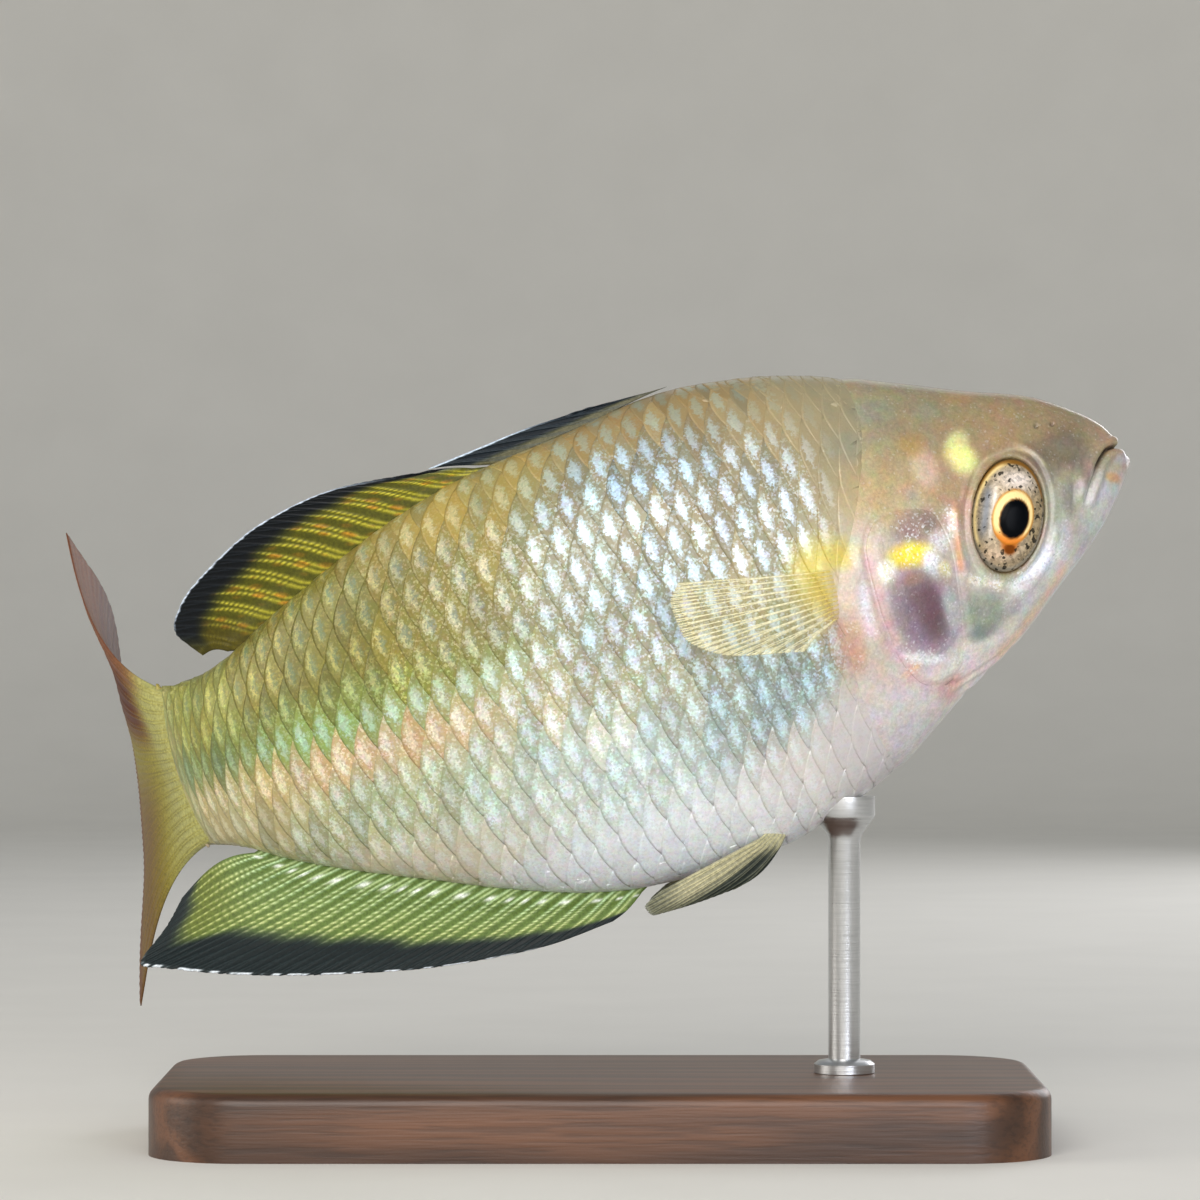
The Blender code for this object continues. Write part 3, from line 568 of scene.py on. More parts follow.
def skinRelief(station, height, side):
    # How far the bare skin stands above the plain body, before the scales go on
    out = -head["scaleDepth"] * scaledShare(station, height)
    ahead, up, rho = eyePlane(station, height)
    out -= head["socketDepth"] * (1 - softStep(0.9, 1.0, rho))
    out += 0.16 * hump(rho - 1.07, 0.06) + 0.08 * hump(rho - 1.3, 0.07) * softStep(-0.5, 1.5, up)
    out -= 0.07 * hump(rho - 1.19, 0.05)
    # The bones round the eye swell gently below and behind it
    out += 0.16 * hump(rho - 1.42, 0.11) * softStep(1.0, -1.0, up)

    # The mouth is a cut between two soft rolls
    gap, share = curveDistance(head["mouth"], station, height)
    above = height > smoothTable(head["mouth"])(station)
    parted = 1 - softStep(0.86, 1.0, share)
    out -= head["mouthDepth"] * hump(gap, 0.11) * parted * (1 - 0.75 * softStep(0.5, 0.68, share))
    roll = hump(gap - np.where(above, 0.52, 0.5), 0.3)
    out += head["lipHeight"] * roll * (1 - softStep(0.9, 1.0, share)) * softStep(-0.2, 1.0, station)
    out -= 0.05 * hump(gap - 1.15, 0.16) * (1 - softStep(0.7, 1.0, share)) * softStep(1.5, 3.0, station)
    # The crease of the upper jaw's bone behind the lips
    jaw, along = curveDistance(head["jawBone"], station, height)
    out -= 0.08 * hump(jaw, 0.2) * alongCurve(along, 0.2, 0.85)

    for place in head["nostrils"]:
        gap = nostrilGap(place, station, height)
        out += 0.05 * hump(gap - 0.3, 0.1) - 0.3 * hump(gap, 0.16)

    # The bone before the gill cover is a ridge with a furrow ahead of it
    gap, share = curveDistance(head["preopercle"], station, height)
    inner = curveDistance([(s - 0.95, h + 0.25) for s, h in head["preopercle"]], station, height)[0]
    out += (0.1 * hump(gap, 0.4) - 0.05 * hump(inner, 0.3)) * alongCurve(share, 0.1, 0.8)

    # The skin dips under the gill cover and in the slit behind it
    rear, share = curveDistance(coverRearLine, station, height)
    front = curveDistance(coverFrontLine, station, height)[0]
    top = curveDistance(head["coverTop"], station, height)[0]
    level = (height < 1.5 + 0.28 * (station - 17.8)) & (height > -12.0)
    under = (station > frontStationAt(height)) & (station < rearStationAt(height)) & level
    inside = np.minimum(np.minimum(front, top), rear)
    out = np.where(under, np.minimum(out, -0.5 * softStep(0.3, 1.2, inside)), out)
    out -= np.where(under, 0, 0.04 * hump(rear, 0.35)) * softStep(0.02, 0.12, share)
    # Folds of the throat membrane below the cover
    for shift in (0.55, 1.15, 1.8):
        curve = np.array(head["throatFold"]) - shift * np.array(head["throatFoldPace"])
        fold, along = curveDistance(curve, station, height)
        out -= 0.13 * hump(fold, 0.13) * alongCurve(along, 0.15, 0.75)
    # A shallow groove down the middle of the throat
    middle = hump(side, 0.5) * softStep(-1, -3, height)
    return out - 0.25 * middle * softStep(6, 12, station) * (1 - softStep(20, 26, station))


def edgeStations(rows):
    # The station of a cover edge as a function of height
    stations, heights = np.array(finely(rows, 60)).T
    order = np.argsort(heights)
    return lambda h: np.interp(h, heights[order], stations[order])


frontStationAt = edgeStations(head["coverFront"])
rearStationAt = edgeStations(head["coverRear"])

print("stage: skin")

skinMesh = {
    "around": 316, "snoutRings": [0.35, 0.7, 0.9], "tipPush": 0.07, "headPace": 0.125, "bodyPace": 0.7,
    "headEnd": 25.0, "reliefEnd": 31,
}


def ringStations():
    # Rings close together on the head, closest where the snout is steep
    fine = np.linspace(0, bodyShape["end"], 4000)
    steep = np.hypot(1, np.hypot(np.gradient(backAt(fine), fine), np.gradient(bellyAt(fine), fine)) * 0.5)
    pace = np.where(fine < skinMesh["headEnd"], skinMesh["headPace"], skinMesh["bodyPace"])
    count = np.concatenate([[0], np.cumsum(np.diff(fine) * (steep / pace)[1:])])
    return np.interp(np.linspace(0, count[-1], int(count[-1]) + 1), count, fine)


def makeSkin():
    # A ball drawn out to rings along the bent body; its poles are the jaw tip and the tail root
    stations = ringStations()
    tip, root = skinMesh["snoutRings"], [(80.2, 0.8), (80.35, 0.45)]
    station = np.concatenate([[0.0], np.zeros(len(tip)), stations, [s for s, w in root], [80.4]])
    size = np.concatenate([[0.0], tip, np.ones(len(stations)), np.ones(len(root)), [0.0]])
    narrow = np.concatenate([[1.0], np.ones(len(tip) + len(stations)), [w for s, w in root], [1.0]])
    push = np.where(station == 0, skinMesh["tipPush"] * (1 - size ** 2), 0.0)
    last, around = len(station) - 1, skinMesh["around"]
    skin = freshPrimitive(bpy.ops.mesh.primitive_uv_sphere_add, "fishSkin", segments=around, ring_count=last)
    ball = pointsOf(skin)
    ring = np.clip(np.rint(np.arccos(np.clip(ball[:, 2], -1, 1)) * last / math.pi), 0, last).astype(int)
    spoke = np.rint(np.arctan2(ball[:, 1], ball[:, 0]) / (2 * math.pi) * around).astype(int) % around

    # The spokes stand at even steps round the cheek
    turns = np.linspace(0, 2 * math.pi, 2000)
    side, height = skinSection(np.full_like(turns, 13.0), turns)
    length = np.concatenate([[0], np.cumsum(np.hypot(np.diff(side), np.diff(height)))])
    angles = np.interp(np.arange(around) / around * length[-1], length, turns)

    s, angle = station[ring], angles[spoke]
    side, height = skinSection(s, angle)
    relief = np.zeros(len(s))
    near = s < skinMesh["reliefEnd"]
    relief[near] = skinRelief(s[near], height[near], side[near])
    relief[~near] = -head["scaleDepth"]
    points = skinPoint(s, angle, np.where(size[ring] < 1, 0, relief))
    small = (size[ring] < 1) | (narrow[ring] < 1)
    points[small] = fishPlace(s - push[ring], side * size[ring] * narrow[ring], height * size[ring])[small]
    movePoints(skin, points * millimetre)
    faceOutwards(skin)

    colour = blendZones(skinZones, s, height)
    sparkle = np.full(len(s), 0.1)
    colour[near], sparkle[near] = skinColours(s[near], height[near], headSpots + rearSpots)
    colour[near] = shadeHead(colour[near], s[near], height[near])
    paintPoints(skin, "markings", colour)
    markPoints(skin, "sparkle", sparkle)
    dress(skin, wetSkin, ("head", "torso", "tail"))


def shadeHead(colour, station, height):
    # Painted shadow in the mouth's cut, the shade in the eye's rim, painted shade in the nostrils, and pink
    # along the gill slit
    gap, share = curveDistance(head["mouth"], station, height)
    mouthShadow = 1 - 0.6 * softStep(0.5, 0.64, share) - 0.4 * softStep(0.7, 0.95, share)
    # painted shadow in the mouth's cut, strongest at its front
    tint(colour, "#4a4136", 0.85 * hump(gap, 0.13) * mouthShadow * softStep(-1.0, 0.8, station))
    rho = eyePlane(station, height)[2]
    tint(colour, "#6b5530", 0.85 * (1 - softStep(0.99, 1.03, rho)))
    tint(colour, "#9a8766", 0.5 * hump(rho - 1.05, 0.05))
    # painted shade in the nostrils
    for place in head["nostrils"]:
        tint(colour, "#5e5240", 0.7 * hump(nostrilGap(place, station, height), 0.18))
    rear, share = curveDistance(coverRearLine, station, height)
    tint(colour, "#c9a9ae", 0.6 * hump(rear, 0.45) * softStep(0.05, 0.2, share))
    return colour


def makeWetSkin():
    # Bare fish skin under a film of slime: clouds of pigment, grains of guanine with painted glints, a wet
    # gloss
    material, shader, add = newMaterial("wetFishSkin", {"Roughness": 0.34, "IOR": 1.38, "Coat Weight": 0.5,
                                                        "Coat Roughness": 0.12, "Coat IOR": 1.34})
    times, timesPlus = {"operation": "MULTIPLY"}, {"operation": "MULTIPLY_ADD"}
    place = add("ShaderNodeTexCoord", output="Object")
    marks = add("ShaderNodeAttribute", {"attribute_name": "markings"})
    sparkle = add("ShaderNodeAttribute", {"attribute_name": "sparkle"}, output="Fac")
    # clouds 1.2 mm across, each with a faint tint of its own, and pigment cells 0.25 mm across
    clouds = add("ShaderNodeTexNoise", None,
                 {"Vector": place, "Scale": 850.0, "Detail": 3.0, "Roughness": 0.6}, "Color")
    tints = add("ShaderNodeVectorMath", timesPlus, {0: clouds, 1: (0.62,) * 3, 2: (0.69,) * 3})
    painted = add("ShaderNodeVectorMath", times, {0: marks, 1: tints})
    cells = add("ShaderNodeTexNoise", None,
                {"Vector": place, "Scale": 4200.0, "Detail": 2.0, "Roughness": 0.7})
    tone = add("ShaderNodeMapRange", None,
               {"Value": cells, "From Min": 0.3, "From Max": 0.7, "To Min": 0.86, "To Max": 1.14})
    # guanine grains 0.14 mm across: the bright ones are painted glints, the dark ones pigment flecks
    grains = add("ShaderNodeTexVoronoi", None, {"Vector": place, "Scale": 7000.0}, "Color")
    pick = add("ShaderNodeSeparateColor", None, {"Color": grains}).node.outputs
    level = add("ShaderNodeMath", timesPlus, {0: sparkle, 1: 0.6, 2: -1.0})
    spread = add("ShaderNodeMath", {"operation": "ADD"}, {0: pick["Red"], 1: level})
    glint = add("ShaderNodeMath", {"operation": "MULTIPLY", "use_clamp": True}, {0: spread, 1: 2.0})
    flecks = add("ShaderNodeMapRange", None,
                 {"Value": pick["Green"], "From Min": 0.0, "From Max": 0.4, "To Min": 0.45, "To Max": 1.0})
    fleckShare = add("ShaderNodeMath", times, {0: sparkle, 1: 0.6})
    fleckTone = add("ShaderNodeMix", {"data_type": "FLOAT"}, {0: fleckShare, 2: 1.0, 3: flecks})
    bothTones = add("ShaderNodeMath", times, {0: tone, 1: fleckTone})
    shaded = add("ShaderNodeVectorMath", {"operation": "SCALE"}, {0: painted, "Scale": bothTones})
    # painted glints: bright grains turn the base colour near white, more where the skin sparkles
    bright = add("ShaderNodeMix", {"data_type": "RGBA"}, {0: glint, 6: shaded, 7: paint("#f6f8fc")}, 2)
    metal = add("ShaderNodeMapRange", None,
                {"Value": sparkle, "From Min": 0.1, "From Max": 1.0, "To Min": 0.05, "To Max": 0.3})
    fine = add("ShaderNodeBump", None, {"Strength": 0.25, "Distance": 0.00008, "Height": cells})
    bumps = add("ShaderNodeBump", None,
                {"Strength": 0.4, "Distance": 0.0002, "Height": clouds, "Normal": fine})
    feed(shader, {"Base Color": bright, "Metallic": metal, "Normal": bumps})
    return material


wetSkin = makeWetSkin()
makeSkin()


def makeSheet(name, columns, rows):
    # A flat sheet and its back, closed round the rim, and the column and row of each point. The points are
    # set afterwards
    sheet = freshPrimitive(bpy.ops.mesh.primitive_grid_add, name, size=2, x_subdivisions=columns,
                           y_subdivisions=rows)
    applyModifier(sheet, "SOLIDIFY", thickness=0.1, offset=-1.0)
    points = pointsOf(sheet)
    column = np.rint((points[:, 0] + 1) / 2 * columns).astype(int)
    row = np.rint((points[:, 1] + 1) / 2 * rows).astype(int)
    front = np.abs(points[:, 2]) < 0.05
    return sheet, column, row, front


print("stage: gill covers")

cover = {
    "columns": 44, "rows": 92, "rise": 0.16, "sunk": -0.04, "thick": 0.24, "rimThick": 0.08,
    "bulge": [(18.4, -3.4), (19.4, -6.0), (20.6, -8.2)],
    "crease": [(17.3, -8.2), (18.8, -9.4), (20.6, -9.6), (22.3, -8.4)],
    "rimShade": "#cba7ab",
}


def makeCover(hand, word):
    piece, column, row, front = makeSheet("gillCover" + word, cover["columns"], cover["rows"])
    back, down = column / cover["columns"], row / cover["rows"]
    frontStation, frontHeight = edgeCurve(head["coverFront"])
    rearStation, rearHeight = edgeCurve(head["coverRear"])
    station = frontStation(down) * (1 - back) + rearStation(down) * back
    height = frontHeight(down) * (1 - back) + rearHeight(down) * back
    raised = softStep(0, 0.3, back) * softStep(0, 0.1, down) * softStep(1, 0.93, down)
    out = cover["sunk"] + (cover["rise"] - cover["sunk"]) * raised
    bulge = curveDistance(cover["bulge"], station, height)[0]
    out += 0.12 * hump(bulge, 1.4) * raised
    crease = curveDistance(cover["crease"], station, height)[0]
    out -= 0.1 * hump(crease, 0.2) * raised
    rim = (1 - back) * (rearStation(down) - frontStation(down))
    out -= 0.16 * softStep(0.9, 0.0, rim) * raised
    thick = cover["rimThick"] + (cover["thick"] - cover["rimThick"]) * softStep(0, 1.2, rim)
    out = np.where(front, out, out - thick)
    power = fullnessAt(station) / 2
    upward = np.sign(height - widestAt(station)) * reachShare(station, height) ** power
    angle = np.arctan2(upward, (sideAt(station, height) / halfWidthAt(station)) ** power)
    movePoints(piece, skinPoint(station, angle if hand > 0 else math.pi - angle, out) * millimetre)
    faceOutwards(piece)
    colour, sparkle = skinColours(station, height, headSpots)
    tint(colour, cover["rimShade"], 0.6 * softStep(0.9, 0.2, rim) * softStep(0.15, 0.3, down))
    paintPoints(piece, "markings", colour)
    markPoints(piece, "sparkle", sparkle)
    dress(piece, wetSkin, ("gill_cover_" + word.lower(),))


makeCover(1, "Left")
makeCover(-1, "Right")

print("stage: eyes")

eye = {
    "around": 144, "rings": 96,
    "pupilPlace": (0.26, -0.27), "pupilHalf": (1.08, 1.46), "pupilTurn": 7,
    "ringPlace": (0.18, -0.12), "ringHalf": (1.6, 2.12), "ringTurn": 6,
    "pupilColour": "#04060a", "ringColour": "#ffe3a0", "ringEdge": "#b8741f", "irisColour": "#b3a288",
    "rimColour": "#8a5f24", "rearBand": "#7a7f87", "goldLine": "#fbe2a0", "orangeSpot": "#6d360c",
}


def makeEyeShine():
    # Iris and lens under a smooth wet cornea: silver guanine flakes, dark pigment flecks and a soft gloss
    material, shader, add = newMaterial("wetEye", {"Roughness": 0.3, "IOR": 1.34, "Specular IOR Level": 0.1})
    place = add("ShaderNodeTexCoord", output="Object")
    marks = add("ShaderNodeAttribute", {"attribute_name": "markings"})
    mottle = add("ShaderNodeAttribute", {"attribute_name": "sparkle"}, output="Fac")
    # flakes 0.2 mm across, and flecks of 0.3 mm where there is most mottling
    flakes = add("ShaderNodeTexVoronoi", None, {"Vector": place, "Scale": 5000.0}, "Color")
    pick = add("ShaderNodeSeparateColor", None, {"Color": flakes}).node.outputs
    lift = add("ShaderNodeMapRange", None, {"Value": pick["Red"], "To Min": 0.5, "To Max": 1.45})
    blend = add("ShaderNodeMix", {"data_type": "FLOAT"}, {0: mottle, 2: 1.0, 3: lift})
    shaded = add("ShaderNodeVectorMath", {"operation": "SCALE"}, {0: marks, "Scale": blend})
    flecks = add("ShaderNodeTexNoise", None, {"Vector": place, "Scale": 2300.0, "Detail": 1.0})
    crowd = add("ShaderNodeMath", {"operation": "MULTIPLY_ADD"}, {0: mottle, 1: 0.25, 2: flecks})
    spots = add("ShaderNodeMapRange", None,
                {"Value": crowd, "From Min": 0.76, "From Max": 0.81, "To Min": 0.0, "To Max": 0.9})
    mixed = add("ShaderNodeMix", {"data_type": "RGBA"}, {0: spots, 6: shaded, 7: paint("#26241f")}, 2)
    metal = add("ShaderNodeMath", {"operation": "MULTIPLY"}, {0: mottle, 1: 0.3})
    feed(shader, {"Base Color": mixed, "Metallic": metal})
    return material


def makeEye(hand, word, material):
    ball = freshPrimitive(bpy.ops.mesh.primitive_uv_sphere_add, "eye" + word, segments=eye["around"],
                          ring_count=eye["rings"], radius=1)
    x, y, z = pointsOf(ball).T
    depth = (head["eyeBulge"] + head["eyeDeep"]) / 2
    ahead, up = x * head["eyeHalf"][0], y * head["eyeHalf"][1]
    rho = np.hypot(x, y)
    pupil = ellipseRadius(ahead, up, eye["pupilPlace"], eye["pupilHalf"], -eye["pupilTurn"])
    ring = ellipseRadius(ahead, up, eye["ringPlace"], eye["ringHalf"], -eye["ringTurn"])
    # The lens stands out through the pupil, and the iris dips round it
    relief = np.where(z > 0, 0.1 * (1 - softStep(0.6, 1.05, pupil)) - 0.07 * hump(ring - 1.1, 0.25), 0)
    place = sideAt(*head["eyePlace"]) + head["eyeBulge"] - depth
    c, s = math.cos(math.radians(head["eyeLean"])), math.sin(math.radians(head["eyeLean"]))
    station = head["eyePlace"][0] - ahead * c - up * s
    height = head["eyePlace"][1] + up * c - ahead * s
    movePoints(ball, fishPlace(station, hand * (place + z * depth + relief), height) * millimetre)
    faceOutwards(ball)

    beside = softStep(-2.6, -1.0, up) * softStep(2.6, 1.2, up)
    rear = softStep(0.6, -0.9, ahead + 0.3 * (up - 2))
    wedge = ellipseRadius(ahead, up, (0.2, -2.1), (0.75, 0.9))
    spot = ellipseRadius(ahead, up, (0.26, -2.55), (0.5, 0.45))
    colour, sparkle = np.zeros((len(x), 3)), np.ones(len(x))
    for shade, amount, shine in [
            (eye["irisColour"], np.ones(len(x)), 0.6),
            ("#8f7f62", 0.6 * hump(rho - 0.83, 0.07), 0.95),
            ("#f2e7e2", 0.8 * hump(up - 2.7, 0.8) * hump(ahead - 0.3, 1.5), 0.6),
            ("#9c8a68", 0.6 * hump(ahead - 1.9, 0.7) * beside, 0.8),
            (eye["rearBand"], 0.9 * hump(ahead + 1.85, 0.36) * beside, 0.35),
            ("#ece6e0", 0.75 * hump(ahead + 1.36, 0.16) * beside, 0.3),
            ("#dcbfa6", 0.6 * hump(up + 3.1, 0.6) * hump(ahead + 0.8, 1.2), 0.8),
            ("#c0621c", 0.85 * (1 - softStep(0.5, 1.2, wedge)), 0.15),
            (eye["orangeSpot"], 0.95 * (1 - softStep(0.6, 1.1, spot)), 0.1),
            (eye["ringEdge"], 0.8 * (1 - softStep(0.97, 1.03, ring)), 0.1),
            (eye["ringColour"], 1 - softStep(0.88, 0.98, ring), 0.1),
            ("#df7a26", 0.85 * (1 - softStep(0.92, 1.02, ring)) * softStep(-1.0, -1.9, up), 0.1),
            ("#6b3f1a", 0.9 * (1 - softStep(1.02, 1.1, pupil)), 0.0),
            (eye["pupilColour"], 1 - softStep(0.96, 1.02, pupil), 0.0),
            ("#87857c", 0.6 * softStep(0.87, 0.92, rho), 0.5),
            (eye["rimColour"], softStep(0.86, 0.91, rho) * softStep(0.4, 2.4, up), 0.15),
            (eye["goldLine"], 0.95 * hump(rho - 0.895, 0.04) * rear * softStep(-3.2, -1.8, up), 0.05),
            ("#59462a", softStep(0.945, 0.985, rho), 0.0)]:
        layOver(colour, sparkle, shade, amount, shine)
    paintPoints(ball, "markings", colour)
    markPoints(ball, "sparkle", sparkle)
    dress(ball, material, ("eye_" + word.lower(),))


wetEye = makeEyeShine()
makeEye(1, "Left", wetEye)
makeEye(-1, "Right", wetEye)

print("stage: scales")

coat = {
    "rowGap": 2.5, "firstRow": -10, "lastRow": 9, "middle": -0.45, "lean": 0.115,
    "pitch": [(12, 1.4), (20, 1.5), (32, 1.62), (45, 1.85), (60, 1.9), (70, 1.65), (80, 1.2)],
    "reach": 2.1, "halfTall": 1.06, "step": 0.05, "thick": 0.022, "deepFront": 0.2,
    "headSink": 0.17, "tailSink": 0.2,
    "acrossSteps": [0, 0.06, 0.19, 0.42, 1.0], "downSteps": 8, "start": 12, "end": 81.2, "patch": 0.003,
    "mapSpan": 69,
}
# name: place, size, core colour, glint colour, rim colour, how far the glint hugs the rear edge, sparkle. The
# glint colour is the scales' silver with a painted highlight on it
scaleZones = {
    "nape": ((17, 7), (4, 3), "#97896a", "#a08f6c", "#9d8560", 0.2, 0.15),
    "backFront": ((24, 12), (6, 3.4), "#94937b", "#a09b7a", "#98855f", 0.2, 0.2),
    "backMiddle": ((36, 15), (8, 2.2), "#8f9079", "#9f9b78", "#9a8253", 0.2, 0.2),
    "backRear": ((50, 13), (6, 3.0), "#9aa072", "#cbbd84", "#a3904c", 0.6, 0.35),
    "shoulder": ((22, 4), (2.4, 4), "#9a8760", "#b4a07a", "#8e7648", 0.3, 0.35),
    # painted highlight: the upper front flank's silver is painted brighter, where the light catches it
    "silverHighlightFront": ((28, 5.5), (6, 4.5), "#a9bcd4", "#edf8ff", "#918768", 0.0, 0.5),
    "silverHighlightMiddle": ((37, 7), (6, 4.5), "#93acc0", "#cfe9ff", "#827d64", 0.05, 0.55),
    "flankFront": ((30, -2), (6, 4), "#a8b8c4", "#e2effa", "#999474", 0.2, 0.75),
    "flankMiddle": ((42, 1), (6, 4.5), "#9ab2c4", "#dcf0ff", "#939582", 0.35, 0.85),
    "flankRear": ((51, 5), (5, 4.5), "#858e82", "#dcd6b2", "#898144", 0.7, 0.75),
    "tailUpper": ((62, 4.5), (8, 3.5), "#6a7650", "#b4a85c", "#706a26", 0.9, 0.55),
    "tailEndUpper": ((75, 3), (4, 3), "#7e8650", "#c0be66", "#838436", 0.9, 0.4),
    "greenAbove": ((60, 0.6), (12, 0.9), "#7f9060", "#cbdb8a", "#7e8838", 0.6, 0.8),
    "stripeMiddle": ((54, -1.4), (5, 0.9), "#b0c4ba", "#dff2da", "#a4aa74", 0.4, 0.85),
    "stripeRear": ((64, -1.2), (6, 0.95), "#7a9f8c", "#bce0bf", "#86a054", 0.4, 0.8),
    "stripeEnd": ((75, -0.8), (5, 1.3), "#596e50", "#94ae7e", "#687438", 0.5, 0.6),
    "peach": ((60, -4.2), (7, 1.3), "#c8b8a8", "#fff0d4", "#c4a87c", 0.7, 0.8),
    "peachRear": ((72, -3.8), (5, 1.6), "#b2ae92", "#ecdeb4", "#ac9e68", 0.8, 0.7),
    "belowMiddle": ((44, -4.5), (6, 2.6), "#c2cac6", "#eef4f0", "#b3ae88", 0.35, 0.9),
    "lowerRear": ((60, -8.5), (9, 2.6), "#a6b5a6", "#dee8d6", "#a2a880", 0.5, 0.8),
    "lowerMiddle": ((46, -10), (8, 3.5), "#c4d8e0", "#ecfdff", "#b9c6c0", 0.3, 0.85),
    "lowerFront": ((33, -8), (5, 4), "#8f9fa0", "#c4e4ee", "#888f84", 0.1, 0.75),
    "breast": ((29, -15), (6, 3), "#dbd6d2", "#eceaea", "#d8d0ca", 0.2, 0.35),
    "belly": ((42, -17), (10, 2.6), "#e2ebf1", "#f6fdff", "#e0e7ec", 0.2, 0.55),
    "bellyRear": ((62, -13), (10, 2.0), "#d2cfc4", "#e8e7d8", "#cdc5ac", 0.3, 0.5),
    "tailLow": ((74, -7), (5, 2), "#b8b390", "#cec8a2", "#ada276", 0.4, 0.3),
    "tailRoot": ((81.5, -1), (2.4, 9), "#a6a870", "#bebc84", "#a0a26a", 0.6, 0.3),
}
# name, place, half sizes, turn, colour, strength, how far each colour takes it
scaleSpots = [
    ("goldShoulder", (26.2, -1.4), (2.6, 3.0), 0, "#d0bf50", 1.0, {"core": 0.9, "glint": 0.75, "rim": 0.95}),
    ("paleShoulder", (25.6, -6.5), (1.8, 2.6), 0, "#bb9080", 0.7, {"core": 0.8, "glint": 0.4, "rim": 1}),
    ("coolLower", (31.5, -8.5), (3.0, 3.0), 0, "#82918f", 0.5, {"core": 0.9, "glint": 0.1, "rim": 1}),
]
sectionStations = np.linspace(11, 83, 289)
sectionShares = np.linspace(0, 1, 61)


def girthLengths(station, turns):
    # Millimetres round the skin at one station, from the first turn to each of them
    side, height = skinSection(np.full_like(turns, station), turns)
    return np.concatenate([[0], np.cumsum(np.hypot(np.diff(side), np.diff(height)))])


def girthTables(sign):
    # For stations along the body, the girth from the widest line to the back or belly and the angle at each
    # share of it
    turns = np.linspace(0, math.pi / 2, 400)
    lengths = [girthLengths(station, sign * turns) for station in sectionStations]
    angles = [np.interp(sectionShares * length[-1], length, turns) for length in lengths]
    return np.array(angles), np.array([length[-1] for length in lengths])


girths = {1: girthTables(1), -1: girthTables(-1)}


def angleAtGirth(station, girth):
    # Girth is positive above the widest line. Past the back or belly it goes on to the other flank
    result = np.zeros(np.shape(station))
    i = np.clip((station - sectionStations[0]) / (sectionStations[1] - sectionStations[0]), 0,
                len(sectionStations) - 1.001)
    i0 = i.astype(int)
    for sign, (angles, totals) in girths.items():
        share = np.abs(girth) / np.interp(station, sectionStations, totals)
        past = share > 1
        j = np.clip(np.where(past, 2 - share, share) * 60, 0, 59.999)
        j0 = j.astype(int)
        here, onward = (angles[i1, j0] * (1 - j + j0) + angles[i1, j0 + 1] * (j - j0) for i1 in (i0, i0 + 1))
        angle = here * (1 - i + i0) + onward * (i - i0)
        angle = np.where(past, math.pi - angle, angle)
        result = np.where(np.sign(girth + 1e-9) == sign, sign * angle, result)
    return result


def laidOn(station, girth):
    # Rows of scales rise towards the nape, and lean forward up the flank
    risen = girth + 0.02 * np.clip(36 - station, 0, 10) ** 2 * softStep(0, 8, girth)
    return station - coat["lean"] * (risen - coat["middle"]), risen


def scaleRoots(hand):
    # The rear tip, girth and pitch of each scale, in rows offset by half a pitch, and its height and station
    fine = np.linspace(coat["start"], coat["end"], 2000)
    pitchAt = smoothTable(coat["pitch"])
    count = np.concatenate([[0], np.cumsum(np.diff(fine) / pitchAt(fine[1:]))])
    roots = []
    for row in range(coat["firstRow"], coat["lastRow"] + 1):
        start = 0.5 * (row % 2) + (0.25 if hand > 0 else 0)
        tips = np.interp(np.arange(start, count[-1], 1.0), count, fine)
        girth = row * coat["rowGap"] + coat["middle"]
        full = np.interp(tips, sectionStations, girths[1 if girth > 0 else -1][1])
        leaned, risen = laidOn(tips, np.full_like(tips, girth))
        height = skinSection(leaned, angleAtGirth(leaned, risen))[1]
        pitch = pitchAt(tips)
        placed = (abs(girth) <= full + 0.4 * coat["rowGap"]) & (leaned - 0.45 * pitch >= headLimit(height))
        rows = np.stack([tips, np.full_like(tips, girth), pitch, height, leaned], axis=1)
        roots.append(rows[placed])
    return np.concatenate(roots)


def scaleFaces():
    # One closed scale as faces over a grid of (across, down) points, top first and the underside's rim after
    na, nb = len(coat["acrossSteps"]), coat["downSteps"] + 1
    top = np.arange(na * nb).reshape(na, nb)
    faces = [(top[i, j], top[i + 1, j], top[i + 1, j + 1], top[i, j + 1])
             for i in range(na - 1) for j in range(nb - 1)]
    rim = ([(0, j) for j in range(nb)] + [(i, nb - 1) for i in range(1, na)]
           + [(na - 1, j) for j in range(nb - 2, -1, -1)] + [(i, 0) for i in range(na - 2, 0, -1)])
    low = {place: na * nb + n for n, place in enumerate(rim)}
    for here, there in zip(rim, rim[1:] + rim[:1]):
        faces.append((top[here], top[there], low[there], low[here]))
    for j in range(nb - 1):
        ends = [low[0, j]]
        if j == 0:
            ends += [low[i, 0] for i in range(1, na - 1)]
        ends += [low[na - 1, j], low[na - 1, j + 1]]
        if j == nb - 2:
            ends += [low[i, nb - 1] for i in range(na - 2, 0, -1)]
        ends.append(low[0, j + 1])
        faces.append(tuple(reversed(ends)))
    return faces, rim


def meshOf(name, points, faces, count):
    # An object of many like pieces, each with these faces over its own share of the points
    each = len(points) // count
    sizes = [len(face) for face in faces]
    corners = np.concatenate(faces)
    starts = np.cumsum([0] + sizes[:-1])
    whole = np.arange(count)[:, None]
    mesh = bpy.data.meshes.new(name)
    mesh.vertices.add(len(points))
    mesh.loops.add(len(corners) * count)
    mesh.polygons.add(len(faces) * count)
    mesh.vertices.foreach_set("co", np.asarray(points, np.float32).ravel())
    mesh.loops.foreach_set("vertex_index", (corners + each * whole).astype(np.int32).ravel())
    mesh.polygons.foreach_set("loop_start", (starts + len(corners) * whole).astype(np.int32).ravel())
    mesh.update(calc_edges=True)
    piece = bpy.data.objects.new(name, mesh)
    bpy.context.scene.collection.objects.link(piece)
    return piece


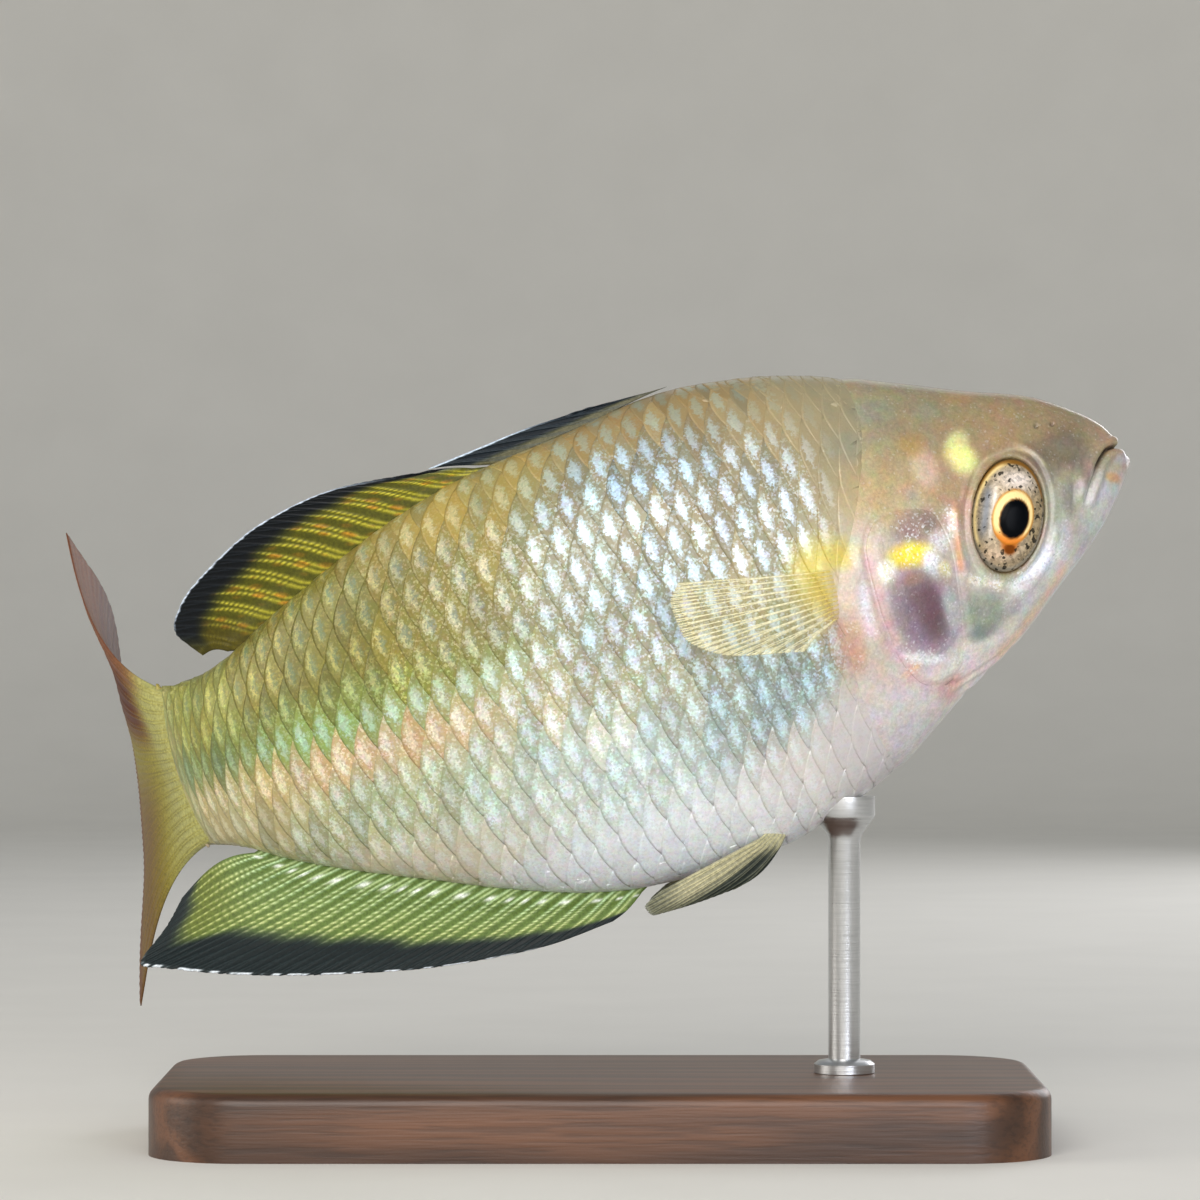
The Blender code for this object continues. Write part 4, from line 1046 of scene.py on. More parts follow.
def makeCoat(hand, word, material):
    roots = scaleRoots(hand)
    faces, rim = scaleFaces()
    count = len(roots)
    tip, girth, pitch, height, leaned = roots.T
    jitter = chance.normal(0, 1, (count, 4)).T
    # how far a scale stands up: little by the head, along the belly and towards the tail
    calm = 1 - (0.4 + 0.25 * softStep(1, -13, height)) * softStep(64, 46, leaned)
    calm -= 0.15 * softStep(-8, -14, height)
    calm *= 0.12 + 0.88 * softStep(1, 9, leaned - headLimit(height) + 2 * softStep(3, -3, height))
    lift = coat["step"] * calm * (1 + 0.12 * jitter[2])

    # arrays over (scale, inward from the rear edge, across from low to high)
    inward = np.array(coat["acrossSteps"])
    across = np.linspace(-1, 1, coat["downSteps"] + 1)
    tips, row, gap, steep, rough = (x[:, None, None] for x in (tip, girth, pitch, lift, calm))
    size, shift, bent = (1 + 0.03 * jitter[0], 0.04 * jitter[1], 0.004 * jitter[3])
    size, shift, bent = (x[:, None, None] for x in (size, shift, bent))
    width = coat["reach"] * gap * (1 - 0.85 * np.abs(across) ** 2.5) * size * inward[:, None]
    station = tips + shift - 0.55 * gap * np.abs(across) ** 1.6 - width
    tall = across + 0 * station
    down = row + coat["rowGap"] * coat["halfTall"] * size * tall
    out = bent * rough - steep * width / gap - 0.045 * rough * np.abs(across) ** 3 - 0.01
    straight = (tips - station) / gap
    station, down = laidOn(station, down)

    # the underside has the rim's points alone: thin at the rear, deep enough at the front for the sunk top
    rimInward, rimAcross = np.array(rim).T
    under = rimInward * len(across) + rimAcross
    flat = (x.reshape(count, -1) for x in (station, down, out, straight, tall))
    station, down, out, straight, tall = (np.concatenate([x, x[:, under]], axis=1) for x in flat)
    out[:, -len(rim):] -= coat["thick"] * (0.1 + 0.9 * calm[:, None]) + coat["deepFront"] * inward[rimInward]

    angle = angleAtGirth(station, down)
    level = skinSection(station, angle)[1]
    out -= coat["headSink"] * (1 - softStep(0, 3.2, station - headLimit(level)))
    out -= coat["tailSink"] * softStep(77.5, 81, station)
    points = skinPoint(station, angle if hand > 0 else math.pi - angle, out).reshape(-1, 3)
    piece = meshOf("scales" + word, points * millimetre, faces, count)
    faceOutwards(piece)
    paintScales(piece, roots, station.ravel(), level.ravel())
    print("  scales", word, count, len(piece.data.polygons))

    # scalePlace lays every scale over the same square, and OFBake gives each a small patch of its own, at its
    # root's place on the skin laid flat
    order = np.empty(len(piece.data.loops), np.int32)
    piece.data.loops.foreach_get("vertex_index", order)
    scale = order // station.shape[1]
    place = np.stack([straight.ravel() / 3, (tall.ravel() + 1) / 2], axis=1)[order]
    rootU = 0.02 + 0.96 * (tip - coat["start"]) / coat["mapSpan"]
    rootV = 0.05 + 0.9 * np.clip(angleAtGirth(tip, girth) / math.pi + 0.5, -0.05, 1.05)
    patch = np.stack([rootU, rootV], axis=1)[scale] + coat["patch"] * np.array([-1, 1]) * (place - 0.5)
    for name, spread in (("scalePlace", place), ("OFBake", patch)):
        piece.data.uv_layers.new(name=name).data.foreach_set("uv", spread.astype(np.float32).ravel())
    dress(piece, material)


def scaleFade(station, height):
    # 0 at the bare head, 1 where the scales are clear
    start = np.interp(height, [-22, -14, -8, -1, 1, 6, 9, 16], [23, 26, 25.4, 24.9, 23.4, 20.8, 19.8, 19.2])
    return softStep(0, 1, (station - start) / np.interp(height, [-12, -8, 1, 6, 12], [8, 2.2, 2.5, 6, 11]))


def paintScales(piece, roots, where, level):
    # Zone colours step from scale to scale; the spots and the fade to the bare head run on across them
    tip, girth, pitch, height, leaned = roots.T
    each = len(where) // len(roots)
    station = 0.5 * np.repeat(leaned - 0.45 * pitch, each) + 0.5 * where
    height = 0.5 * np.repeat(height, each) + 0.5 * level
    zone = blendZones(scaleZones, station, height, 1e-9)
    # Each scale differs a little from its neighbours
    own = np.repeat(np.clip(chance.normal(0, 1, (4, len(roots))), -1.8, 1.8), each, axis=1)
    own *= 1 - 0.7 * softStep(-9, -14, height)
    light, warm = 1 + 0.05 * own[0], 0.012 * own[1]
    bare = skinColours(where, level, headSpots + rearSpots)[0]
    fade = scaleFade(where, level)[:, None]
    # glintColour is the scales' silver with a painted highlight on it
    for n, name in enumerate(("core", "glint", "rim")):
        colour = zone[:, 3 * n:3 * n + 3] * light[:, None] + np.stack([warm, 0 * warm, -warm], axis=1)
        for spot in scaleSpots:
            tint(colour, spot[4], spotAmount(spot, where, level) * spot[6][name])
        paintPoints(piece, name + "Colour", np.clip(bare + (colour - bare) * fade, 0, 1))
    markPoints(piece, "hug", np.clip(zone[:, 9] + 0.12 * own[2], 0, 1))
    markPoints(piece, "sparkle", np.clip(zone[:, 10] + 0.12 * own[3], 0, 1))


def makeScaleHorn():
    # Thin clear horn over silver guanine: a leaf of grainy silver in each scale with a painted glint, ochre
    # pigment round it and a wet film on top
    material, shader, add = newMaterial("wetScaleHorn", {"Roughness": 0.38, "IOR": 1.45, "Coat Weight": 0.25,
                                                         "Coat Roughness": 0.15, "Coat IOR": 1.34})
    times, timesPlus, less = ({"operation": name} for name in ("MULTIPLY", "MULTIPLY_ADD", "SUBTRACT"))
    smooth, colours = {"interpolation_type": "SMOOTHSTEP"}, {"data_type": "RGBA"}
    place = add("ShaderNodeTexCoord", output="Object")
    core, glint, rim = (add("ShaderNodeAttribute", {"attribute_name": name})
                        for name in ("coreColour", "glintColour", "rimColour"))
    hug, sparkle = (add("ShaderNodeAttribute", {"attribute_name": name}, output="Fac")
                    for name in ("hug", "sparkle"))
    spot = add("ShaderNodeUVMap", {"uv_map": "scalePlace"})
    split = add("ShaderNodeSeparateXYZ", None, {"Vector": spot}).node.outputs
    # tall is -1 to 1 up the scale, inward is 0 at the rear tip and 1 one scale further in
    tall = add("ShaderNodeMath", timesPlus, {0: split["Y"], 1: 2.0, 2: -1.0})
    waver = add("ShaderNodeTexNoise", None,
                {"Vector": place, "Scale": 2800.0, "Detail": 2.0, "Roughness": 0.75})
    ragged = add("ShaderNodeMath", timesPlus, {0: waver, 1: 0.75, 2: -0.375})
    inward = add("ShaderNodeMath", timesPlus, {0: split["X"], 1: 3.0, 2: ragged})
    inward = add("ShaderNodeMath", timesPlus, {0: tall, 1: 0.24, 2: inward})
    # the leaf is pointed above and below, 0.9 mm wide and 2.5 mm tall
    aside = add("ShaderNodeMath", times, {0: tall, 1: 1.8})
    off = add("ShaderNodeMath", {"operation": "ABSOLUTE"}, {0: aside})
    bow = add("ShaderNodeMath", {"operation": "POWER"}, {0: off, 1: 1.7})
    rear = add("ShaderNodeMath", timesPlus, {0: bow, 1: 0.32, 2: 0.18})
    front = add("ShaderNodeMath", timesPlus, {0: bow, 1: -0.22, 2: 0.6})
    fromRear = add("ShaderNodeMath", less, {0: inward, 1: rear})
    fromFront = add("ShaderNodeMath", less, {0: front, 1: inward})
    rearEdge = add("ShaderNodeMapRange", smooth, {"Value": fromRear, "From Min": -0.08, "From Max": 0.08})
    frontEdge = add("ShaderNodeMapRange", smooth, {"Value": fromFront, "From Min": -0.12, "From Max": 0.16})
    leaf = add("ShaderNodeMath", times, {0: rearEdge, 1: frontEdge})
    ground = add("ShaderNodeMix", colours, {0: leaf, 6: rim, 7: core}, 2)
    # the painted glint fills the leaf, or draws back to a thin line along its rear edge
    reach = add("ShaderNodeMath", timesPlus, {0: hug, 1: -0.52, 2: 0.64})
    line = add("ShaderNodeMath", less, {0: reach, 1: fromRear})
    lineEdge = add("ShaderNodeMapRange", smooth, {"Value": line, "From Min": -0.06, "From Max": 0.1})
    lens = add("ShaderNodeMath", times, {0: leaf, 1: lineEdge})
    # guanine grains 0.15 mm across: the bright ones carry the painted glint, the dark ones are pigment
    grains = add("ShaderNodeTexVoronoi", None, {"Vector": place, "Scale": 6500.0}, "Color")
    pick = add("ShaderNodeSeparateColor", None, {"Color": grains}).node.outputs
    bright = add("ShaderNodeMapRange", smooth, {"Value": pick["Red"], "From Min": 0.55, "From Max": 0.95})
    dark = add("ShaderNodeMapRange", smooth, {"Value": pick["Green"], "From Min": 0.55, "From Max": 0.95})
    fleck = add("ShaderNodeMath", timesPlus, {0: pick["Blue"], 1: 0.6, 2: 0.4})
    grainy = add("ShaderNodeMath", times, {0: lens, 1: fleck})
    looseShare = add("ShaderNodeMath", times, {0: sparkle, 1: 0.6})
    loose = add("ShaderNodeMath", times, {0: bright, 1: looseShare})
    shine = add("ShaderNodeMath", {"operation": "MAXIMUM"}, {0: grainy, 1: loose})
    # painted glints: the glint colour laid over the ground in the leaf and on bright grains
    glintPainted = add("ShaderNodeMix", colours, {0: shine, 6: ground, 7: glint}, 2)
    pigment = add("ShaderNodeMix", colours, {0: 0.55, 6: rim, 7: paint("#6f6a58")}, 2)
    darkMost = add("ShaderNodeMath", times, {0: sparkle, 1: 0.45})
    darkShare = add("ShaderNodeMath", times, {0: dark, 1: darkMost})
    shaded = add("ShaderNodeMix", colours, {0: darkShare, 6: glintPainted, 7: pigment}, 2)
    # faint tints in clouds about 0.6 mm across, where the scales sparkle; the breast stays milky
    clouds = add("ShaderNodeTexNoise", None,
                 {"Vector": place, "Scale": 1700.0, "Detail": 3.0, "Roughness": 0.65}, "Color")
    tints = add("ShaderNodeVectorMath", timesPlus, {0: clouds, 1: (0.65,) * 3, 2: (0.675,) * 3})
    cloudy = add("ShaderNodeVectorMath", times, {0: shaded, 1: tints})
    tinted = add("ShaderNodeMix", colours, {0: sparkle, 6: shaded, 7: cloudy}, 2)
    metal = add("ShaderNodeMath", timesPlus, {0: shine, 1: 0.22, 2: 0.06})
    bumps = add("ShaderNodeBump", None, {"Strength": 0.3, "Distance": 0.00006, "Height": pick["Blue"]})
    feed(shader, {"Base Color": tinted, "Metallic": metal, "Normal": bumps})
    return material


wetScaleHorn = makeScaleHorn()
makeCoat(1, "Left", wetScaleHorn)
makeCoat(-1, "Right", wetScaleHorn)

print("stage: fins")

# Rays fork into branches, and lines of joints cross them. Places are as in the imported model
dorsalFirst = {
    "rays": 6, "columnsEach": 16, "rows": 50, "base": [(0, 33.6), (1, 47.5)], "bow": [(0, 0.05), (1, 0.1)],
    "tips": [(0, 38.2, 15.8), (0.3, 42.6, 15.85), (0.65, 47.4, 15.5), (1, 51.2, 15.2)],
    "split": 0.1, "fork": 0.8, "joints": 0, "ridge": 0.16, "rootThick": 0.5, "sunk": 1.4,
    "colours": {"low": "#5c5a42", "slate": "#0e1820", "ray": "#48525a", "edge": "#c6d6e6"},
}
dorsalSecond = {
    "rays": 13, "columnsEach": 24, "rows": 90, "base": [(0, 48.0), (1, 71.6)],
    "bow": [(0, 0.2), (0.6, 0.5), (1, 0.3)],
    "tips": [(0, 51.3, 14.9), (0.2, 59.0, 15.9), (0.4, 64.6, 15.2), (0.6, 69.6, 13.4), (0.8, 73.8, 11.1),
             (0.93, 75.2, 9.2), (1, 73.8, 7.0)],
    "split": 0.15, "fork": 0.35, "joints": 18, "ridge": 0.12, "rootThick": 0.6, "sunk": 1.5,
    "colours": {"membrane": "#4a4a0c", "ray": "#efe24e", "hot": "#c0701c", "slate": "#060b10",
                "edge": "#c9d6e6", "rear": "#453d06", "front": "#5f675f"},
}
analFin = {
    "rays": 20, "columnsEach": 22, "rows": 96, "base": [(0, 45.4), (1, 75.2)],
    "bow": [(0, 0.2), (0.7, 0.2), (1, -0.9)],
    "tips": [(0, 48.2, -21.4), (0.08, 53.0, -21.7), (0.2, 60.0, -21.1), (0.4, 69.6, -19.2),
             (0.6, 78.4, -16.9), (0.72, 84.0, -15.1), (0.81, 86.6, -14.2), (0.92, 84.4, -12.2),
             (1, 82.8, -10.4)],
    "split": 0.17, "fork": 0.4, "joints": 22, "ridge": 0.12, "rootThick": 0.7, "sunk": 1.5,
    "colours": {"membrane": "#5c7236", "ray": "#faffba", "teal": "#ccffe0", "glint": "#f8fffa",
                "slate": "#121c1e", "edge": "#dfe8f0", "lobe": "#5c621c"},
}
tailFin = {
    "rays": 17, "columnsEach": 16, "rows": 110,
    "length": [(0, 23.0), (0.12, 20.6), (0.3, 16.0), (0.5, 13.5), (0.7, 16.0), (0.88, 20.6), (1, 23.2)],
    "rootRise": [(0, 26), (0.25, 6), (1, -9)],
    "rise": [(0, 43), (0.125, 31), (0.25, 16), (0.375, 9), (0.5, 2), (0.75, -18), (1, -36)],
    "turn": [(0, 90), (0.125, 98), (0.25, 91), (0.375, 86), (0.5, 81), (0.75, 75), (1, 64)],
    "split": 0.15, "fork": 0.3, "joints": 34, "ridge": 0.13, "rootThick": 1.5, "sunk": 1.6,
    "colours": {"base": "#847a2a", "root": "#a6a568", "red": "#4a1a08", "lead": "#7c5034", "low": "#6a4e1e",
                "tip": "#5a2606", "ray": "#8e8028"},
}
pectoralFin = {
    "rays": 12, "columnsEach": 20, "rows": 70, "base": [(0, 26.0, -1.0), (1, 26.3, -4.8)], "away": 3.2,
    "bow": 0,
    "tips": [(0, 36.2, 1.4), (0.25, 37.1, 0.0), (0.5, 37.0, -2.2), (0.75, 35.0, -4.5), (1, 29.4, -6.2)],
    "split": 0.06, "fork": 0.45, "joints": 20, "ridge": 0.1, "rootThick": 0.5, "sunk": 0.5,
    "colours": {"membrane": "#e4d890", "ray": "#fffbe0", "root": "#f3d65c"},
}
pelvicFin = {
    "rays": 6, "columnsEach": 16, "rows": 60, "base": [(0, 34.0, -19.1), (1, 35.6, -18.5)], "away": -0.6,
    "bow": -0.6,
    "tips": [(0, 38.6, -21.6), (0.3, 42.3, -21.8), (0.6, 44.9, -21.7), (0.85, 45.3, -20.9), (1, 43.8, -20.1)],
    "split": 0.12, "fork": 0.4, "joints": 20, "ridge": 0.12, "rootThick": 0.4, "sunk": 0.5,
    "colours": {"silver": "#a3a084", "slate": "#272e2a", "ray": "#ddd5a0", "tip": "#b9c0bc"},
}
# "flankGap" is how far a paired fin's middle stands off the flank
finWall = {"membrane": 0.16, "edge": 0.1, "gap": 0.3, "flankGap": 0.79}


def medianFinMiddle(fin, edgeAt, outward):
    baseAt, bowAt = smoothTable(fin["base"]), smoothTable(fin["bow"])
    tipStation, tipHeight = edgeCurve(fin["tips"])

    def middleAt(u, v):
        root = baseAt(u)
        rootHeight = edgeAt(root) + outward * finWall["gap"]
        bow = outward * bowAt(u) * np.sin(math.pi * np.clip(v, 0, 1))
        height = rootHeight + (tipHeight(u) - rootHeight) * v + bow
        return fishPlace(root, 0.0, height, (tipStation(u) - root) * v, turnAt(root) * (1 - 0.3 * v))

    return middleAt


def tailFinMiddle():
    end = bodyShape["end"]
    top, bottom = backAt(end) - 0.25, bellyAt(end) + 0.25
    lengthAt, rootRise = smoothTable(tailFin["length"]), smoothTable(tailFin["rootRise"])
    riseEnd, turnEnd = smoothTable(tailFin["rise"]), smoothTable(tailFin["turn"])
    start, steps = turnAt(end), 10

    def middleAt(u, v):
        ahead, aside = np.zeros(np.shape(u)), np.zeros(np.shape(u))
        height = top + (bottom - top) * u
        stride = lengthAt(u) * v / steps
        for i in range(steps):
            t = (i + 0.5) / steps * v
            rise = np.radians(riseEnd(u) + (rootRise(u) - riseEnd(u)) * (1 - t) ** 3)
            turn = np.radians(start + (turnEnd(u) - start) * np.sin(math.pi / 2 * t))
            ahead = ahead + stride * np.cos(rise) * np.cos(turn)
            aside = aside + stride * np.cos(rise) * np.sin(turn)
            height = height + stride * np.sin(rise)
        root = np.full(np.shape(u), end + finWall["gap"])
        return fishPlace(root, 0.0, height, np.sign(v) * np.hypot(ahead, aside),
                         np.degrees(np.arctan2(np.sign(v + 1e-9) * aside, np.sign(v + 1e-9) * ahead)))

    return middleAt


def pairedFinMiddle(fin, hand):
    baseStation, baseHeight = edgeCurve(fin["base"])
    tipStation, tipHeight = edgeCurve(fin["tips"])

    def middleAt(u, v):
        station = baseStation(u) + (tipStation(u) - baseStation(u)) * v
        bow = fin["bow"] * (1 - u) * np.sin(math.pi * np.clip(v, 0, 1))
        height = baseHeight(u) + (tipHeight(u) - baseHeight(u)) * v + bow
        rooted = finWall["flankGap"] * softStep(-0.06, 0.12, v) - 0.5 * softStep(0.02, -0.06, v)
        side = sideAt(baseStation(u), baseHeight(u)) + rooted + fin["away"] * v
        return fishPlace(station, hand * side, height)

    return middleAt


def rayPattern(fin, u, v):
    # 1 on the crest of a ray or branch and 0 on the membrane, and the joints that cross each branch
    across = u * fin["rays"]
    offset = across - np.floor(np.clip(across, 0, fin["rays"] - 1e-6)) - 0.5
    apart = softStep(fin["fork"], fin["fork"] + 0.35, v)
    first = fin["split"] + (0.25 - fin["split"]) * apart
    second = 0.11 * softStep(fin["fork"] + 0.3, fin["fork"] + 0.6, v)
    width = 0.085 - 0.03 * apart
    crest = np.zeros(np.shape(u))
    for a in (-1, 1):
        for b in (-1, 1):
            crest = np.maximum(crest, hump(offset - a * first - b * second, width))
    phase = 3 * np.sin(7.3 * np.floor(across * 2))
    joints = 0.5 + 0.5 * np.cos(2 * math.pi * fin["joints"] * v + phase) * softStep(0.05, 0.2, v)
    return crest, joints


def makeFin(name, fin, middleAt, paintAt, material, node, rayMaterial=None):
    columns, rows = fin["rays"] * fin["columnsEach"], fin["rows"]
    piece, column, row, front = makeSheet(name, columns, rows)
    u = column / columns
    sunk = fin["sunk"] / np.linalg.norm(middleAt(u, 1 + 0 * u) - middleAt(u, 0 * u), axis=1)
    v = (1 + sunk) * row / rows - sunk
    along = middleAt(np.minimum(u + 0.004, 1), v) - middleAt(np.maximum(u - 0.004, 0), v)
    outward = middleAt(u, v + 0.004) - middleAt(u, v - 0.004)
    normal = np.cross(along, outward)
    normal /= np.maximum(np.linalg.norm(normal, axis=1, keepdims=True), 1e-9)
    crest, joints = rayPattern(fin, u, v)
    root = softStep(0.3, 0.0, v) ** 1.5 * np.sqrt(1 - np.abs(2 * u - 1) ** 4)
    wall = finWall["membrane"] + (fin["rootThick"] - finWall["membrane"]) * root
    half = wall / 2 + fin["ridge"] * crest * (1 - 0.65 * v) * (0.82 + 0.18 * joints) * softStep(-0.02, 0.1, v)
    rim = np.minimum(np.minimum(u, 1 - u) * columns / 2, (1 - v) * rows / 2)
    half = np.where(rim < 1, finWall["edge"] / 2 + (half - finWall["edge"] / 2) * np.clip(rim, 0, 1), half)
    # The edge is nicked a little between the ends of the branches
    nick = 0.35 * softStep(0.97, 1.0, v) * (1 - crest) * (0.5 + 0.5 * np.sin(37 * u + 5 * np.sin(61 * u)))
    points = middleAt(u, v - nick * 0.03) + normal * (np.where(front, half, -half))[:, None]
    movePoints(piece, points * millimetre)
    faceOutwards(piece)
    colours = {name: sharesOf(shade) for name, shade in fin["colours"].items()}
    paintPoints(piece, "markings", paintAt(colours, u, v, crest, joints))
    dress(piece, material, (node,))
    if rayMaterial:
        piece.data.materials.append(rayMaterial)
        for face in piece.data.polygons:
            face.material_index = int(crest[list(face.vertices)].mean() > 0.45)


def layered(colour, *layers):
    # Colours laid over a first one, each by its share from 0 to 1
    for shade, amount in layers:
        colour = colour + (shade - colour) * np.asarray(amount)[..., None]
    return colour


def ripple(u, v, rate, seed):
    # A slow wandering between -1 and 1, so that bands and edges aren't ruled
    return (np.sin(rate * u + seed) + np.sin(rate * 1.7 * u + 2.1 * seed + 4 * v)
            + np.sin(rate * 3.1 * u + 3.7 * seed - 3 * v)) / 3


def paintDorsalSecond(c, u, v, crest, joints):
    own = 0.5 + 0.5 * np.sin(17.3 * np.floor(u * 52))
    band = softStep(0.48, 0.74, v + 0.05 * ripple(u, v, 20, 1)) * softStep(1.02, 0.93, u)
    pale = softStep(0.975, 0.99, v + 0.014 * ripple(u, v, 90, 2)) * softStep(1.0, 0.8, u)
    pale = pale * softStep(0.03, 0.25, u)
    return layered(
        c["membrane"],
        (c["ray"], crest ** 0.6 * (0.35 + 0.65 * softStep(0.2, 0.75, joints)) * (0.65 + 0.35 * own)),
        (c["hot"], 0.6 * softStep(0.2, 0.8, ripple(u, 6 * v, 40, 4)) * (0.4 + 0.6 * crest)),
        (c["rear"], 0.8 * softStep(0.82, 0.95, u)),
        (c["front"], 0.75 * softStep(0.16, 0.0, u) * softStep(0.1, 0.5, v)),
        (c["slate"] + 0.05 * crest[:, None] * np.array([0.9, 1, 1.1]), band),
        (c["edge"], pale))


def paintDorsalFirst(c, u, v, crest, joints):
    pale = softStep(0.86, 0.95, v + 0.03 * ripple(u, v, 30, 2)) * softStep(0.1, 0.5, u)
    return layered(c["low"], (c["slate"], softStep(0.02, 0.3, v)), (c["ray"], 0.5 * crest), (c["edge"], pale))


def paintAnal(c, u, v, crest, joints):
    wander = 0.04 * ripple(u, v, 24, 3)
    own = 0.5 + 0.5 * np.sin(17.3 * np.floor(u * 80))
    line = layered(c["ray"], (c["teal"], softStep(0.55, 0.1, v + wander) * (0.3 + 0.7 * own)))
    dots = softStep(0.2, 0.9, np.sin(40 * math.pi * u + 2 * np.sin(23 * u))) * hump(v - 0.07, 0.035)
    broken = softStep(-0.3, 0.2, ripple(u, v, 70, 5)) * softStep(0.05, 0.15, u) * softStep(0.86, 0.78, u)
    return layered(
        c["membrane"],
        (line, crest ** 0.6 * (0.4 + 0.6 * softStep(0.15, 0.7, joints)) * (0.7 + 0.3 * own)),
        (c["glint"], 0.9 * dots),
        (c["lobe"], 0.6 * softStep(0.7, 0.85, u) * softStep(0.3, 0.7, v) * (1 - 0.5 * crest)),
        (c["slate"] + 0.05 * crest[:, None] * np.array([0.9, 1, 1]),
         softStep(0.5, 0.68, v + wander - 0.2 * softStep(0.68, 0.85, u))),
        (c["edge"], softStep(0.975, 0.988, v) * broken))


def paintTail(c, u, v, crest, joints):
    ends = softStep(0.8, 0.97, v) * (0.35 + 0.6 * crest)
    return layered(
        c["base"],
        (c["root"], 0.9 * softStep(0.45, 0.05, v)),
        (c["red"], softStep(0.1, 0.35, v) * softStep(0.42, 0.2, u)),
        (c["low"], softStep(0.2, 0.7, v) * softStep(0.4, 0.7, u)),
        (c["ray"], 0.4 * crest * (0.4 + 0.6 * joints)),
        (c["lead"], 0.8 * softStep(0.12, 0.04, u) * softStep(0.05, 0.25, v)),
        (c["tip"], ends * softStep(0.1, 0.25, u)))


def paintPectoral(c, u, v, crest, joints):
    return layered(c["membrane"], (c["ray"], crest * (0.85 + 0.15 * joints)),
                   (c["root"], 0.85 * softStep(0.25, 0.0, v)))


def paintPelvic(c, u, v, crest, joints):
    dark = softStep(0.62, 0.25, u + 0.1 * ripple(u, v, 9, 3)) * softStep(0.02, 0.3, v)
    return layered(
        c["silver"],
        (c["ray"], crest * 0.7),
        (c["slate"], np.maximum(dark, 0.6 * softStep(0.65, 0.95, v)) * (1 - 0.35 * crest)),
        (c["tip"], 0.35 * softStep(0.97, 0.99, v) * softStep(0.3, 0.6, u)))


def makeFinSkin(name, roughness, clear):
    # A fin's membrane over bony rays: thin, damp and faintly see-through
    material, shader, add = newMaterial(name, {"Roughness": roughness, "IOR": 1.38, "Specular IOR Level": 0.3,
                                               "Coat Weight": 0.08, "Coat Roughness": 0.2, "Coat IOR": 1.34,
                                               "Alpha": clear})
    place = add("ShaderNodeTexCoord", output="Object")
    marks = add("ShaderNodeAttribute", {"attribute_name": "markings"})
    # pigment dots about 0.2 mm across
    dots = add("ShaderNodeTexNoise", None,
               {"Vector": place, "Scale": 4200.0, "Detail": 2.0, "Roughness": 0.7})
    tone = add("ShaderNodeMapRange", None,
               {"Value": dots, "From Min": 0.3, "From Max": 0.7, "To Min": 0.72, "To Max": 1.28})
    shaded = add("ShaderNodeVectorMath", {"operation": "SCALE"}, {0: marks, "Scale": tone})
    bumps = add("ShaderNodeBump", None, {"Strength": 0.3, "Distance": 0.00005, "Height": dots})
    feed(shader, {"Base Color": shaded, "Normal": bumps})
    return material


finSkin = makeFinSkin("dampFinMembrane", 0.45, 1.0)
clearFinSkin = makeFinSkin("clearFinMembrane", 0.32, 0.12)
clearFinRays = makeFinSkin("clearFinRays", 0.32, 0.55)
makeFin("dorsalFinFirst", dorsalFirst, medianFinMiddle(dorsalFirst, backAt, 1), paintDorsalFirst, finSkin,
        "dorsal_fin_first")
makeFin("dorsalFinSecond", dorsalSecond, medianFinMiddle(dorsalSecond, backAt, 1), paintDorsalSecond, finSkin,
        "dorsal_fin_second")
makeFin("analFin", analFin, medianFinMiddle(analFin, bellyAt, -1), paintAnal, finSkin,
        "anal_fin")
makeFin("tailFin", tailFin, tailFinMiddle(), paintTail, finSkin, "caudal_fin")
for hand, word in ((1, "Left"), (-1, "Right")):
    makeFin("pectoralFin" + word, pectoralFin, pairedFinMiddle(pectoralFin, hand), paintPectoral,
            clearFinSkin, "pectoral_fin_" + word.lower(), clearFinRays)
    makeFin("pelvicFin" + word, pelvicFin, pairedFinMiddle(pelvicFin, hand), paintPelvic, finSkin,
            "pelvic_fin_" + word.lower())

print("stage: stand")

stand = {
    "length": 66, "depth": 34, "height": 5, "corner": 7, "edge": 0.9, "rodStation": 29.0, "rodRadius": 1.2,
    # the rod's outline as (height, share of its radius): a ring on the base, and a pad under the belly
    "foot": [(3.3, 1.0), (5.0, 1.0), (5.05, 1.9), (5.7, 1.9), (5.95, 1.65), (6.1, 1.0)],
    "pad": [(-2.4, 1.0), (-1.9, 1.12), (-1.2, 1.55), (-0.7, 1.86), (-0.5, 1.92), (0.9, 1.92)],
}


